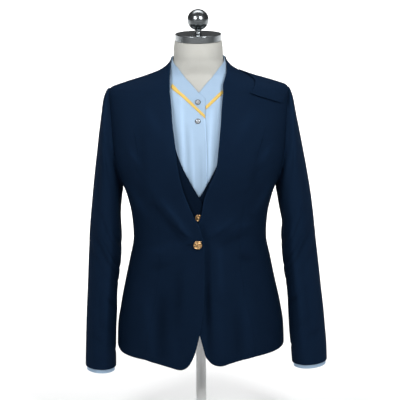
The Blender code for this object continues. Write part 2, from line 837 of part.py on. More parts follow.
def vest_arc(side, back):
    """Waistcoat armhole from the underarm to the shoulder, on the front or the back."""
    pairs = [(side * (180 - t if back else t), h) for t, h in VEST_ARMHOLE]
    return halved(turn_line(pairs + [(side * 90, VEST_SHOULDER[1])], 7), 2)


def vest_front(side, material):
    """Each front laps past the middle of the front by the same amount."""
    edge = front_line([(-side * x, h) for x, h in VEST_EDGE], 6)
    neck = [seen_from(side * -x, h, -1) for x, h in VEST_NECKLINE]
    neck.append(at_turn(side * 90, VEST_SHOULDER[0]))
    left = edge + halved([on_body(p) for p in through(neck, 7)], 2)[1:]
    right = side_line(side, VEST_HEM, VEST_UNDERARM, 6) + vest_arc(side, False)[1:]
    bottom = [left[0], at_turn(side * 45, VEST_HEM), right[0]]
    bottom = [on_body(p) for p in through(bottom, 6)]
    top = shoulder_seam(side, *VEST_SHOULDER, 6)
    name = "vest_front_left" if side > 0 else "vest_front_right"
    lift = left_vest_lift if side > 0 else vest_lift
    return sew(name, patch(bottom, top, left, right), lift, VEST_CLOTH, material)


def vest_back(material):
    neck = back_neck_seam(1, 372, VEST_SHOULDER[0])
    shoulder = shoulder_seam(1, *VEST_SHOULDER, 3)
    seam = side_line(1, VEST_HEM, VEST_UNDERARM, 6)
    half = half_back((VEST_HEM, 372), neck, shoulder, seam, vest_arc(1, True))
    return sew("vest_back", both_halves(half), vest_lift, VEST_CLOTH, material)


BLOUSE_HEM = -172.0
BLOUSE_NECK_SIDE = 372.0
BLOUSE_NECK_BACK = 380.0
PLACKET_EDGE = 13.5
UNDER_EDGE = -12.0
UNDERARM_STEP = ARM_STEPS // 2

# Seam between blouse and collar on the front, from the opening to the side: x, height
RIGHT_NECK_SEAM = ((13.5, 277.5), (-5, 294), (-30, 316), (-60, 342))
LEFT_NECK_SEAM = ((-12, 273), (15, 296), (34, 312), (53, 328))
# Upper edge of the collar on the front: x, height
RIGHT_COLLAR_TOP = ((14, 315), (0, 327), (-29, 355), (-50, 376))
LEFT_COLLAR_TOP = ((-12, 317), (0, 327), (29, 355), (51, 376))
COLLAR_SIDE = 388.0
COLLAR_BACK = 394.0
PIPING_HALF = 3.9
PIPING_CLOTH = 0.9
PIPING_GAP = 0.35


def neck_seam(side, pairs):
    """Neck seam of one blouse front, from the opening to the shoulder."""
    points = [seen_from(x, h, -1) for x, h in pairs] + [at_turn(side * 90, BLOUSE_NECK_SIDE)]
    return [on_body(p) for p in through(points, 6)]


def back_neck_seam(side, middle, end):
    """Half of a line round the back of the neck, from the middle of the back to the side."""
    return turn_line([(side * 180, middle), (side * 135, middle - 1), (side * 90, end)], 4)


def blouse_front(side, edge_x, seam, lift, material):
    neck = neck_seam(side, seam)
    arc = [armhole(step, side, BLOUSE_INSET) for step in range(UNDERARM_STEP, -1, -1)]
    top = neck + shoulder_seam(side, BLOUSE_NECK_SIDE, arc[-1][2], 3)[1:]
    right = side_line(side, BLOUSE_HEM, arc[0][2], 6) + halved(arc, 2)[1:]
    left = front_line([(edge_x, BLOUSE_HEM), (edge_x, 50), seam[0]], len(right) - 3)
    left = halved(left, 2)
    bottom = [left[0], at_turn(side * 45, BLOUSE_HEM), right[0]]
    bottom = [on_body(p) for p in through(bottom, len(top) - 1)]
    name = "blouse_front_left" if side > 0 else "blouse_front_right"
    return sew(name, patch(bottom, top, left, right), lift, BLOUSE_CLOTH, material)


def blouse_back(material):
    neck = back_neck_seam(1, BLOUSE_NECK_BACK, BLOUSE_NECK_SIDE)
    arc = [armhole(step, 1, BLOUSE_INSET) for step in range(UNDERARM_STEP, ARM_STEPS + 1)]
    shoulder = shoulder_seam(1, BLOUSE_NECK_SIDE, arc[-1][2], 3)
    seam = side_line(1, BLOUSE_HEM, arc[0][2], 6)
    arc = halved(arc, 2)
    half = half_back((BLOUSE_HEM, BLOUSE_NECK_BACK), neck, shoulder, seam, arc)
    return sew("blouse_back", both_halves(half), right_blouse_lift, BLOUSE_CLOTH, material)


def collar_half(side, seam, upper):
    """Lower and upper edge of one half of the collar, from its front end to the back."""
    back = back_neck_seam(side, BLOUSE_NECK_BACK, BLOUSE_NECK_SIDE)
    low = neck_seam(side, seam) + back[-2::-1]
    high = [seen_from(x, h, -1) for x, h in upper] + [at_turn(side * 90, COLLAR_SIDE)]
    back = back_neck_seam(side, COLLAR_BACK, COLLAR_SIDE)
    high = [on_body(p) for p in through(high, 6)] + back[-2::-1]
    return low, high


def blouse_collar(material):
    """One band round the neck; its wearer's right end laps over its left end in front."""
    right = collar_half(-1, RIGHT_NECK_SEAM, RIGHT_COLLAR_TOP)
    left = collar_half(1, LEFT_NECK_SEAM, LEFT_COLLAR_TOP)
    lows = right[0] + left[0][-2::-1]
    highs = right[1] + left[1][-2::-1]
    grid = inset_edges(level_rows(lows, highs, 2))
    middle = len(right[0]) - 1
    outer = []
    inner = []
    for row in grid:
        lifts = [
            right_blouse_lift(p) if j <= middle else left_blouse_lift(p)
            for j, p in enumerate(row)
        ]
        outer.append([lifted(p, rise) for p, rise in zip(row, lifts)])
        inner.append([lifted(p, rise - BLOUSE_CLOTH) for p, rise in zip(row, lifts)])
    return cloth_wall("blouse_collar", outer, inner, material)


def piping(side, seam, lift, material):
    """Narrow flat strip over the collar seam, from the opening to under the jacket."""
    line = through([seen_from(x, h, -1) for x, h in seam], 10)
    low = [on_body(p - (0, 0, PIPING_HALF)) for p in line]
    high = [on_body(p + (0, 0, PIPING_HALF)) for p in line]
    grid = level_rows(low, high, 2)
    rise = PIPING_GAP + PIPING_CLOTH
    name = "piping_left" if side > 0 else "piping_right"
    return sew(name, grid, lambda p: lift(p) + rise, PIPING_CLOTH, material)


def longer_ring(rings, share):
    """Ring past the last one by a share of the last step, or before it if negative."""
    last = rings[-1]
    before = rings[-2]
    return tuple(a + (a - b) * share for a, b in zip(last, before))


def blouse_sleeve(side, rings, cloth):
    """Sleeve inside the jacket's, down to the cuff, and the cuff that shows below it."""
    rim = armhole_rim(side, SLEEVE_INSET, RIM_RISE)
    inset = BLOUSE_INSET + 0.5
    first = [armhole(step, side, inset) for step in range(ARM_STEPS)]
    step_down = rings[-2][1] - rings[-1][1]
    cuff_low = CUFF_SHOWS / step_down
    cuff_high = (CUFF_SHOWS - CUFF_LENGTH) / step_down
    jacket = sleeve_points(rings, side, rim, 0.0)[:-2]
    end_ring = longer_ring(rings, cuff_high - 0.03)
    end = []
    for step in range(ARM_STEPS):
        point = oval(end_ring, 2 * math.pi * step / ARM_STEPS, 0.0)
        end.append(point * (side, 1, 1))
    jacket.append(end)
    outer = wall_inside(jacket, BLOUSE_SLEEVE_CLEARANCE)
    inner = wall_inside(jacket, BLOUSE_SLEEVE_CLEARANCE + BLOUSE_CLOTH)
    outer[0] = [p + outward(p) * right_blouse_lift(p) for p in first]
    inner[0] = [p + outward(p) * (right_blouse_lift(p) - BLOUSE_CLOTH) for p in first]
    outer.insert(1, armhole_rim(side, inset, 0.0))
    inner.insert(1, armhole_rim(side, inset + BLOUSE_CLOTH, 0.0))
    outer = [row[::2] for row in outer]
    inner = [row[::2] for row in inner]
    hand = "left" if side > 0 else "right"
    name = "blouse_sleeve_" + hand
    cloth_wall(name, in_world(outer), in_world(inner), cloth, closed=True)

    cuff_outer = []
    cuff_inner = []
    for share in (cuff_high, cuff_high / 2, 0.0, cuff_low):
        ring = longer_ring(rings, share)
        for grid, draw_in in (
            (cuff_outer, CUFF_CLEARANCE), (cuff_inner, CUFF_CLEARANCE + CUFF_CLOTH),
        ):
            grid.append([
                oval(ring, 2 * math.pi * step / ARM_STEPS, draw_in) * (side, 1, 1)
                for step in range(ARM_STEPS)
            ])
    name = "blouse_cuff_" + hand
    cloth_wall(name, in_world(cuff_outer), in_world(cuff_inner), cloth, closed=True)


def turned(name, profile, steps, material, smooth=True):
    """Turned solid: radius and height pairs from the top, down the outer side."""
    mesh = bpy.data.meshes.new(name)
    verts = [(r * MM, 0, z * MM) for r, z in profile]
    mesh.from_pydata(verts, [(i, i + 1) for i in range(len(verts) - 1)], [])
    mesh.materials.append(material)
    thing = bpy.data.objects.new(name, mesh)
    parts.objects.link(thing)
    screw = thing.modifiers.new("turn", "SCREW")
    screw.axis = "Z"
    screw.steps = steps
    screw.render_steps = steps
    screw.use_merge_vertices = True
    screw.merge_threshold = 0.00002
    screw.use_smooth_shade = smooth
    return thing


def seat_button(thing, radius, place, carrier):
    """Stand a button on a cloth piece at x and height, just clear of its highest facet."""
    point = seen_from(place[0], place[1], -1)
    normal = outward(point)
    cloth = bpy.data.objects[carrier]
    base = lifted(point, 0)
    side = np.cross(normal, (0, 0, 1))
    side /= np.linalg.norm(side)
    up = np.cross(side, normal)
    highest = -1e9
    for step in range(13):
        turn = 2 * math.pi * step / 12
        reach = 0 if step == 12 else radius
        spot = base + side * reach * math.cos(turn) + up * reach * math.sin(turn)
        start = Vector((spot + normal * 60) * MM)
        found, hit, _, _ = cloth.ray_cast(start, Vector(-normal))
        if found:
            highest = max(highest, float(np.dot(np.array(hit) / MM - base, normal)))
    thing.location = (base + normal * (highest + BUTTON_GAP)) * MM
    thing.rotation_mode = "QUATERNION"
    thing.rotation_quaternion = Vector(normal).to_track_quat("Z", "Y")


def metal_button(name, radius, place, carrier, material):
    profile = [(r * radius, z * radius) for r, z in METAL_BUTTON]
    thing = turned(name, profile, 16, material)
    seat_button(thing, radius, place, carrier)


def crystal_button(name, place, carrier, material):
    thing = turned(name, CRYSTAL_BUTTON, 10, material, smooth=False)
    seat_button(thing, CRYSTAL_RADIUS, place, carrier)


FORM_BOTTOM = -160.0
FORM_UNDER = (0.80, 0.76)
FORM_HEIGHTS = (
    -150, -120, -80, -40, 0, 40, 80, 115, 150, 185, 220, 255, 285, 305, 318, 329, 341, 353,
    364, 376,
)
FORM_GAP = 0.3
# Neck of the form above the collar: height, half width, front depth, back depth
NECK = (
    (391, 52.9, 49.3, 49.3), (408, 52.6, 50.6, 50.6), (NECK_TOP - FORM_GAP, 51.0, 50.2, 50.2),
)
FORM_TURNS = 24


def held_in(x):
    """Sideways place of the form's side, cut off by the round arm plate."""
    over = abs(x) - (ARM_PLATE - ARM_PLATE_EDGE)
    if over <= 0:
        return x
    held = ARM_PLATE - ARM_PLATE_EDGE + ARM_PLATE_EDGE * math.tanh(over / ARM_PLATE_EDGE)
    return math.copysign(held, x)


def form_torso(material):
    """Padded torso with its neck, one closed solid of level rings."""
    wide, deep = FORM_UNDER
    rings = []
    under = [at_turn(360 * k / FORM_TURNS, FORM_BOTTOM) for k in range(FORM_TURNS)]
    rings.append([(p[0] * wide, p[1] * deep, FORM_BOTTOM + WAIST) for p in under])
    for height in FORM_HEIGHTS:
        row = []
        for k in range(FORM_TURNS):
            point = at_turn(360 * k / FORM_TURNS, height)
            place = lifted(point, form_lift(point))
            row.append((held_in(place[0]), place[1], place[2]))
        rings.append(row)
    for height, half, front, back in NECK:
        row = []
        for k in range(FORM_TURNS):
            turn = 2 * math.pi * k / FORM_TURNS
            depth = front if math.cos(turn) > 0 else back
            row.append((half * math.sin(turn), -depth * math.cos(turn), height + WAIST))
        rings.append(row)
    verts = [p for row in rings for p in row]
    faces = []
    for i in range(len(rings) - 1):
        for k in range(FORM_TURNS):
            a, b = i * FORM_TURNS + k, i * FORM_TURNS + (k + 1) % FORM_TURNS
            faces.append((a, b, b + FORM_TURNS, a + FORM_TURNS))
    faces.append(tuple(range(FORM_TURNS)))
    faces.append(tuple(range(len(verts) - FORM_TURNS, len(verts))))
    thing = make_object("form_torso", verts, faces, material)
    face_out(thing)
    return thing


def cap_and_finial(material):
    """Chrome cap on the neck with its ball, turned in one piece."""
    low = NECK_TOP + WAIST
    top = low + CAP_THICKNESS
    steps = 8
    last = math.degrees(math.asin(BALL_STEM / BALL_RADIUS))
    profile = []
    for k in range(steps + 1):
        angle = math.radians((180 - last) * k / steps)
        profile.append((BALL_RADIUS * math.sin(angle), BALL_MIDDLE + BALL_RADIUS * math.cos(angle)))
    profile += [
        (BALL_STEM, top + 2.5), (BALL_STEM + 3, top + 0.5), (CAP_RADIUS - 6, top),
        (CAP_RADIUS - 2, top - 0.8), (CAP_RADIUS, top - 3.2), (CAP_RADIUS, low + 3),
        (CAP_RADIUS - 2, low), (0, low),
    ]
    turned("neck_cap", profile, 24, material)


def pole_and_base(material):
    top = WAIST + FORM_BOTTOM - FORM_GAP
    foot = BASE_THICKNESS + FORM_GAP
    pole = (
        (0, top), (FLANGE_RADIUS, top), (FLANGE_RADIUS, top - 4), (16, top - 6),
        (POLE_RADIUS, top - 14), (POLE_RADIUS, foot + 18), (17, foot + 10),
        (SOCKET_RADIUS, foot), (0, foot),
    )
    turned("stand_pole", pole, 16, material)
    base = (
        (0, BASE_THICKNESS), (BASE_RADIUS - 16, BASE_THICKNESS),
        (BASE_RADIUS - 4, BASE_THICKNESS - 2), (BASE_RADIUS, BASE_THICKNESS - 5),
        (BASE_RADIUS, 1), (BASE_RADIUS - 1, 0), (0, 0),
    )
    turned("stand_base", base, 28, material)


def finish(name, colour, roughness, metallic=0.0):
    """Principled material with a plain colour."""
    material = bpy.data.materials.new(name)
    material.use_nodes = True
    shader = material.node_tree.nodes["Principled BSDF"]
    shader.inputs["Base Color"].default_value = (*colour, 1)
    shader.inputs["Roughness"].default_value = roughness
    shader.inputs["Metallic"].default_value = metallic
    return material


def build_vest(cloth, gold):
    vest_front(-1, cloth)
    vest_front(1, cloth)
    vest_back(cloth)
    metal_button("vest_button", VEST_BUTTON_RADIUS, VEST_BUTTON, "vest_front_right", gold)


def build_blouse(cloth, yellow, crystal):
    blouse_front(-1, PLACKET_EDGE, RIGHT_NECK_SEAM, right_blouse_lift, cloth)
    blouse_front(1, UNDER_EDGE, LEFT_NECK_SEAM, left_blouse_lift, cloth)
    blouse_back(cloth)
    blouse_collar(cloth)
    piping(-1, RIGHT_NECK_SEAM, right_blouse_lift, yellow)
    piping(1, LEFT_NECK_SEAM[1:], left_blouse_lift, yellow)
    crystal_button("crystal_upper", CRYSTALS[0], "blouse_collar", crystal)
    crystal_button("crystal_lower", CRYSTALS[1], "blouse_front_right", crystal)
    blouse_sleeve(-1, RIGHT_SLEEVE, cloth)
    blouse_sleeve(1, LEFT_SLEEVE, cloth)


clear_scene()
parts = bpy.data.collections.new("airline_crew_uniform")
bpy.context.scene.collection.children.link(parts)

navy = finish("navy_suiting", (0.008, 0.018, 0.042), 0.8)
dark_navy = finish("dark_navy_suiting", (0.004, 0.007, 0.016), 0.8)
light_blue = finish("light_blue_poplin", (0.43, 0.62, 0.83), 0.7)
yellow = finish("yellow_piping", (0.85, 0.52, 0.08), 0.6)
gold = finish("gold_metal", (0.83, 0.58, 0.28), 0.25, 1.0)
crystal = finish("crystal_glass", (0.9, 0.93, 0.96), 0.05)
cream = finish("cream_jersey", (0.72, 0.70, 0.64), 0.9)
chrome = finish("chrome", (0.8, 0.8, 0.8), 0.08, 1.0)
enamel = finish("white_enamel", (0.85, 0.85, 0.84), 0.35)

form_torso(cream)
cap_and_finial(chrome)
pole_and_base(enamel)
build_blouse(light_blue, yellow, crystal)
build_vest(dark_navy, gold)
build_jacket(navy, gold)
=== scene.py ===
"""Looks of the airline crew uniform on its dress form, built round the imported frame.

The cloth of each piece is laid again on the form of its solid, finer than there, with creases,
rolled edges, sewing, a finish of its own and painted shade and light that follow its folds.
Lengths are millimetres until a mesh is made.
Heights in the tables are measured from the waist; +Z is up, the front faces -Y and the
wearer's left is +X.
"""

import math
from collections import namedtuple

import bpy
import numpy as np
from mathutils import Matrix, Vector


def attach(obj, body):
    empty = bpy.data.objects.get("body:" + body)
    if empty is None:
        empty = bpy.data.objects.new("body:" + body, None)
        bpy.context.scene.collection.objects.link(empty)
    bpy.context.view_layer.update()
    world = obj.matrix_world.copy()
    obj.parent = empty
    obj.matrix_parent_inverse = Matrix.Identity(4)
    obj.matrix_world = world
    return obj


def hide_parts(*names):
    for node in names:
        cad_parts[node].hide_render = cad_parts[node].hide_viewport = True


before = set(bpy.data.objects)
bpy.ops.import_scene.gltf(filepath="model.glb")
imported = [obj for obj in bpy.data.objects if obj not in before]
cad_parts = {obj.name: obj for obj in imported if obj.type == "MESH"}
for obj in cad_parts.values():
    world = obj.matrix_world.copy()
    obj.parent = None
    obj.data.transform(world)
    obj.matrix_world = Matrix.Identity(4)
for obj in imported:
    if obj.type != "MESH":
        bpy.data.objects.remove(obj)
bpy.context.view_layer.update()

MM = 0.001
# Cuts of each step of the pattern's grid
FINE = 6

# Sizes that the solids use too: the stand, the neck cap and the flat plates at the form's arms
WAIST = 414.0
TO_FLOOR = np.array((0, 0, WAIST))
BASE_RADIUS = 120.0
BASE_THICKNESS = 10.0
POLE_RADIUS = 11.0
FLANGE_RADIUS = 34.0
SOCKET_RADIUS = 22.0
NECK_TOP = 425.0
CAP_RADIUS = 49.5
CAP_THICKNESS = 15.0
BALL_RADIUS = 23.0
BALL_STEM = 7.0
BALL_MIDDLE = 884.2
ARM_PLATE = 172.0
ARM_PLATE_EDGE = 7.0
# Thickness of the cloths, and how far each piece is drawn in at a seam
JACKET_CLOTH = 1.6
VEST_CLOTH = 1.2
BLOUSE_CLOTH = 1.0
SEAM = 0.1

# Outer face of the jacket round the body
# height, half width, front depth, back depth, squareness of the ring
BODY = (
    (-290, 181, 139, 131, 2.15),
    (-240, 182, 134, 129, 2.15),
    (-200, 181, 128, 126, 2.15),
    (-150, 173, 119, 119, 2.15),
    (-100, 163, 111, 110, 2.15),
    (-50, 152.5, 105.5, 99, 2.15),
    (0, 144, 104, 92, 2.2),
    (45, 147.5, 108, 92, 2.3),
    (90, 157, 114, 96, 2.4),
    (130, 172, 120.5, 99, 2.5),
    (165, 185, 122.5, 101, 2.5),
    (205, 192, 118, 102, 2.45),
    (250, 195, 105, 101, 2.35),
    (290, 195.5, 87, 94, 2.2),
    (312, 194.5, 77, 84, 2.1),
    (324, 190, 72, 77, 2.0),
    (337, 157, 66, 70, 2.0),
    (349, 117, 62, 63, 2.0),
    (361, 86, 58, 58, 2.0),
    (374, 68, 55.5, 55, 2.0),
    (388, 59.5, 54.5, 54.5, 2.0),
    (400, 59.5, 54.5, 54.5, 2.0),
)
# How far the outer face of each layer lies inside the jacket's
# height, waistcoat, blouse, form
LAYERS = (
    (-290, 10.0, 18.0, 26.0),
    (-100, 7.5, 14.0, 22.0),
    (0, 5.5, 11.8, 18.0),
    (70, 5.0, 11.0, 17.0),
    (110, 4.6, 10.4, 16.5),
    (165, 4.4, 9.6, 16.0),
    (250, 4.6, 9.8, 16.0),
    (290, 5.0, 10.6, 17.0),
    (324, 5.4, 11.4, 18.0),
    (345, 5.2, 12.9, 19.0),
    (360, 4.7, 12.3, 17.8),
    (368, 3.8, 9.4, 14.0),
    (376, 3.3, 5.8, 9.6),
    (388, 3.2, 3.0, 6.7),
    (400, 3.2, 2.9, 6.6),
)

# Armhole: height of its middle, half its height, its swing forward and back in degrees of turn,
# and how much of the swing each millimetre of inset takes
ARMHOLE_MIDDLE = 217.0
ARMHOLE_HALF = 107.0
ARMHOLE_SWING = 19.0
SWING_LOSS = 0.45
# Steps of the pattern: round an armhole, from its top to a princess seam, along the jacket's
# shoulder seam.  Then the points round a sleeve, and the cuts of a smooth line between two points.
ARM_STEPS = 20
PRINCESS_STEP = 6
SHOULDER_STEPS = 6
ROUND = ARM_STEPS * FINE
CURVE_STEPS = 12
# The blouse's armhole and the sleeve's rim are this far inside the jacket's armhole, and the rim
# stands this high over the jacket
BLOUSE_INSET = 5.0
SLEEVE_INSET = 0.45
RIM_RISE = 1.9

# Front edges, necklines, hems and princess seams of the jacket: x, height
RIGHT_EDGE = (
    (-24, -258), (-14, -238), (-7, -213), (-1, -188), (5, -155), (8.5, -110), (9.5, -60),
    (9.5, -20), (7.5, 10), (-2.6, 46),
)
RIGHT_NECKLINE = (
    (-2.6, 46), (-13.9, 66), (-30.6, 107), (-38.8, 136), (-46.5, 175), (-50, 212),
    (-55.7, 257), (-61, 321), (-61.5, 358),
)
LEFT_EDGE = (
    (21, -255), (11, -242), (6, -226), (0, -203), (-6, -183), (-13, -150), (-17, -100),
    (-18, -50), (-17, -10), (-7, 36),
)
LEFT_NECKLINE = (
    (-7, 36), (3.8, 68), (9.4, 99), (19.4, 128), (34.9, 163), (41.5, 213), (46.9, 265),
    (51.7, 318), (55, 347),
)
RIGHT_HEM = ((-24, -258), (-33, -266), (-46, -269.5), (-67, -265), (-95, -259), (-120, -254))
LEFT_HEM = ((21, -255), (32, -260.5), (46, -262), (64, -257.5), (90, -252), (118, -248))
SIDE_HEM = -241.0
BACK_HEM = -238.0
# Turn of a point of the side panel's hem, and its height over the front's hem
SIDE_HEM_BEND = (70, 4)
# Turns of the middle points of a hem in front and of a neckline at the back
HEM_TURN = 45
BACK_NECK_TURN = 135
NECK_SIDE = 388.0
NECK_BACK = 391.0
FRONT_PRINCESS = ((113, -200), (102, -150), (91, -80), (86, 0), (93, 75), (108, 125), (138, 165))
BACK_PRINCESS = ((108, -200), (96, -120), (80, -40), (76, 20), (90, 90), (120, 150), (152, 185))

# Rings of the sleeves from the shoulder to the cuff
# how far the middle stands out, y of the middle, half depth, blend from the armhole (0) to the
# oval (1)
SLEEVE_SHAPE = (
    (9, 3, 52, 0.7),
    (11, 3, 59, 1.0),
    (10.5, 4, 63, 1.0),
    (8.5, 4, 64, 1.0),
    (5.5, 3, 63.5, 1.0),
    (2.5, 2, 62, 1.0),
    (1, 1, 60, 1.0),
    (0, 0, 58, 1.0),
    (0, -1, 56.5, 1.0),
    (0, -3, 55, 1.0),
    (0, -6, 53, 1.0),
    (0, -9, 51, 1.0),
    (0, -12, 49, 1.0),
    (0, -15, 47.5, 1.0),
    (0, -18, 46.5, 1.0),
    (0, -20, 46, 1.0),
)
# outer x, outer height, inner x, inner height
RIGHT_SLEEVE = (
    (200.5, 317, 164.5, 107),
    (205.5, 300, 165.5, 100),
    (209.5, 274, 167, 92),
    (214.5, 238, 168.5, 80),
    (220, 194, 170, 64),
    (226, 146, 171, 46),
    (231.5, 96, 169.5, 24),
    (236, 52, 168, 3),
    (239.5, 12, 168.8, -22),
    (241.5, -26, 171.5, -50),
    (243.5, -66, 175.5, -82),
    (245.5, -110, 179, -120),
    (248, -155, 181.5, -160),
    (250, -200, 184, -202),
    (251.5, -245, 185, -245),
    (252.5, -284, 185.5, -287),
)
LEFT_SLEEVE = (
    (199.5, 316, 164.5, 107),
    (204, 298, 165.5, 100),
    (209, 270, 167, 92),
    (216, 234, 169, 80),
    (224, 192, 171.5, 64),
    (233, 142, 175, 46),
    (240.5, 96, 177.5, 24),
    (246, 52, 175, 3),
    (250, 12, 175.5, -22),
    (254, -28, 179, -50),
    (258.5, -70, 182.5, -82),
    (263, -115, 187, -120),
    (268, -160, 190.5, -160),
    (271.5, -202, 192.5, -203),
    (274.5, -242, 196, -245),
    (275.5, -276, 199, -281),
)
# The blouse's cuffs: how much shows below the jacket's sleeve, their length and wall, and how far
# they lie inside the jacket's sleeve
CUFF_SHOWS = 8.0
CUFF_LENGTH = 62.0
CUFF_CLOTH = 1.4
CUFF_CLEARANCE = 3.0
# Gap between blouse sleeve and cuff, as a share of the step between the last two rings
CUFF_GAP = 0.03
# The blouse's sleeve lies this far inside the jacket's, and starts this far inside the armhole
BLOUSE_SLEEVE_CLEARANCE = 4.0
BLOUSE_SLEEVE_GAP = 0.5

# Soft ridges of the jacket, along a line: x and height of both ends, half width, rise, and
# the side (-1 the front, 1 the back).  The first group is in the solids too.
RIDGES = (
    (-118, 150, -28, 22, 15, 2.6, -1),
    (-92, 70, -20, 10, 11, 1.8, -1),
    (60, 60, 14, 18, 12, 2.0, -1),
    (-70, -30, -18, 2, 11, 1.5, -1),
    (66, -40, 18, 0, 12, 1.5, -1),
    (-120, -110, -100, -262, 16, 3.2, -1),
    (-52, -150, -60, -270, 13, 2.4, -1),
    (96, -110, 104, -252, 16, 3.0, -1),
    (40, -140, 48, -262, 12, 2.0, -1),
    (-62, -90, -74, -238, 15, 3.2, 1),
    (40, -110, 46, -238, 14, 2.6, 1),
    (118, -80, 132, -238, 15, 2.8, 1),
    (-132, -120, -140, -238, 14, 2.6, 1),
    (-100, 20, -20, -6, 12, 2.0, 1),
    (104, 26, 26, -2, 12, 2.0, 1),
    (0, 330, 60, 318, 12, 1.6, 1),
    (-135, 255, -112, 130, 14, 2.0, 1),
    (138, 250, 112, 135, 14, 2.0, 1),
)
FOLDS = (
    (-100, 86, -26, -4, 9, -2.0, -1),
    (-78, 96, -18, 16, 6, 1.6, -1),
    (-60, 46, -22, 10, 4, -1.0, -1),
    (-112, -22, -40, -2, 8, 1.5, -1),
    (-108, -58, -70, -46, 6, -1.0, -1),
    (-86, -14, -26, -6, 5, -1.0, -1),
    (-30, 150, -24, 80, 8, 1.0, -1),
    (-44, -60, -52, -200, 10, -1.2, -1),
    (-84, -120, -88, -250, 12, -1.6, -1),
    (17, 10, 17, -170, 5, -2.3, -1),
    (15, -6, 5, 44, 4, -1.3, -1),
    (42, -6, 46, -110, 9, 1.5, -1),
    (17, -90, 20, -250, 6, -1.8, -1),
    (74, 52, 20, 20, 7, 1.5, -1),
    (104, 16, 40, -2, 7, -1.2, -1),
    (110, 40, 66, 34, 6, 1.2, -1),
    (118, -40, 84, -30, 8, -1.4, -1),
    (80, -150, 84, -245, 10, -1.4, -1),
    (-150, 124, -118, 60, 8, 1.6, -1),
    (152, 128, 122, 66, 8, 1.5, -1),
    (-152, 208, -128, 176, 7, 1.5, -1),
    (152, 210, 130, 176, 7, 1.5, -1),
    (-112, 292, -84, 238, 12, 1.1, -1),
    (112, 280, 84, 230, 12, 1.1, -1),
    (-60, 300, -58, 190, 12, 1.0, -1),
    (-70, -60, -66, -250, 30, -0.5, -1),
    (-124, 250, -118, 130, 9, -0.9, -1),
    (128, 190, 112, 120, 9, -0.9, -1),
    (-112, 60, -30, 16, 7, 1.7, 1),
    (98, 70, 24, 26, 7, 1.6, 1),
    (-96, 10, -20, -6, 6, -1.5, 1),
    (90, 0, 24, -10, 6, 1.3, 1),
    (-22, -60, -28, -220, 10, -1.5, 1),
    (84, -70, 92, -226, 10, 1.5, 1),
    (-40, 300, -104, 262, 11, 1.5, 1),
    (34, 282, 100, 244, 11, 1.4, 1),
    (150, 190, 118, 146, 8, 1.6, 1),
    (-150, 186, -120, 144, 8, 1.6, 1),
    (-20, 110, -12, 30, 10, -1.1, 1),
)
# Place on half a wave where a fold starts, which gives the share of its height at its ends
FOLD_END = 0.12
# How much deeper than listed the folds are, and the creases of the sleeves
FOLD_GAIN = 1.8
CREASE_GAIN = 1.35
# Share of the main folds, which the solids have too, that the cloth's painted shade follows
MAIN_FOLD_PAINTED_SHADE = 0.6
# Painted shade on the underside of the sleeves in front, which turns away from the light: depth of
# shade, turn, half turn
SLEEVE_PAINTED_SHADE = 3.0
SLEEVE_PAINTED_SHADE_TURN = 150.0
SLEEVE_PAINTED_SHADE_HALF = 30.0
# Painted light: a relief that makes each sleeve's cloth paler where it has no folds: 1 is the left
# one, -1 the right one
SLEEVE_PAINTED_LIGHT = {1: 2.2, -1: 1.5}
# Narrow pressed tucks above the princess seams: x and height along them, rise, and depth of the
# painted shade on their side toward the armhole
TUCKS = {
    1: (((142, 250), (135, 228), (128, 206), (121, 186), (115, 168)), 0.9, 7.5),
    -1: (((-140, 250), (-136, 230), (-132, 208), (-129, 180)), 0.8, 6.0),
}
# Half width of a tuck, how deep its edges are sunk and how deep its wall reaches
TUCK_HALF = 1.3
TUCK_SINK = 0.1
TUCK_WALL = 0.6
# Creases of the sleeves: turn (0 is outward, 90 forward), place as a share of the length,
# half turn, half length, depth.  The first group is in the solids too.
CREASES = (
    (140, 0.43, 46, 0.018, 4.0),
    (128, 0.50, 52, 0.016, 4.5),
    (150, 0.57, 44, 0.018, 3.5),
    (60, 0.47, 34, 0.020, 2.4),
    (230, 0.52, 44, 0.020, 3.0),
    (75, 0.18, 22, 0.060, 2.0),
    (285, 0.20, 24, 0.060, 2.2),
    (200, 0.74, 40, 0.022, 2.4),
    (110, 0.80, 36, 0.020, 2.0),
)
FINE_CREASES = (
    (125, 0.455, 40, 0.009, 2.4),
    (150, 0.535, 34, 0.009, 2.0),
    (100, 0.385, 34, 0.012, 1.6),
    (80, 0.50, 40, 0.012, 1.6),
    (210, 0.46, 34, 0.010, 1.8),
    (250, 0.60, 30, 0.012, 1.5),
    (40, 0.57, 30, 0.014, 1.3),
    (130, 0.665, 34, 0.012, 1.6),
    (160, 0.33, 30, 0.014, 1.6),
    (70, 0.87, 30, 0.013, 1.1),
    (180, 0.91, 34, 0.012, 1.2),
    (95, 0.10, 14, 0.035, 1.4),
    (265, 0.11, 14, 0.035, 1.4),
    (112, 0.60, 11, 0.30, -1.8),
    (85, 0.72, 8, 0.16, 0.8),
    (55, 0.30, 9, 0.12, 1.0),
    (250, 0.60, 11, 0.30, -1.3),
    (275, 0.75, 9, 0.14, 1.2),
)
# Seam allowance of the sleeve, turned down into the armhole: inset and height over the panels
SLEEVE_TUCK = ((0.3, -1.6), (0.25, 1.2), (0.4, 2.0))
SLEEVE_TUCK_INSIDE = ((1.9, -2.0), (1.9, -0.1), (2.05, 0.3))
# Lengthwise seams of the sleeves, as turns, and the half turn of their grooves
SLEEVE_SEAMS = (148.0, 222.0)
SLEEVE_SEAM_HALF = 1.2
# Where they and the painted shade of the underside begin, as shares of the length, and the creases
# in millimetres
SLEEVE_SEAM_START = (0.02, 0.06)
SLEEVE_PAINTED_SHADE_START = (0.05, 0.2)
CREASE_START = (2, 20)
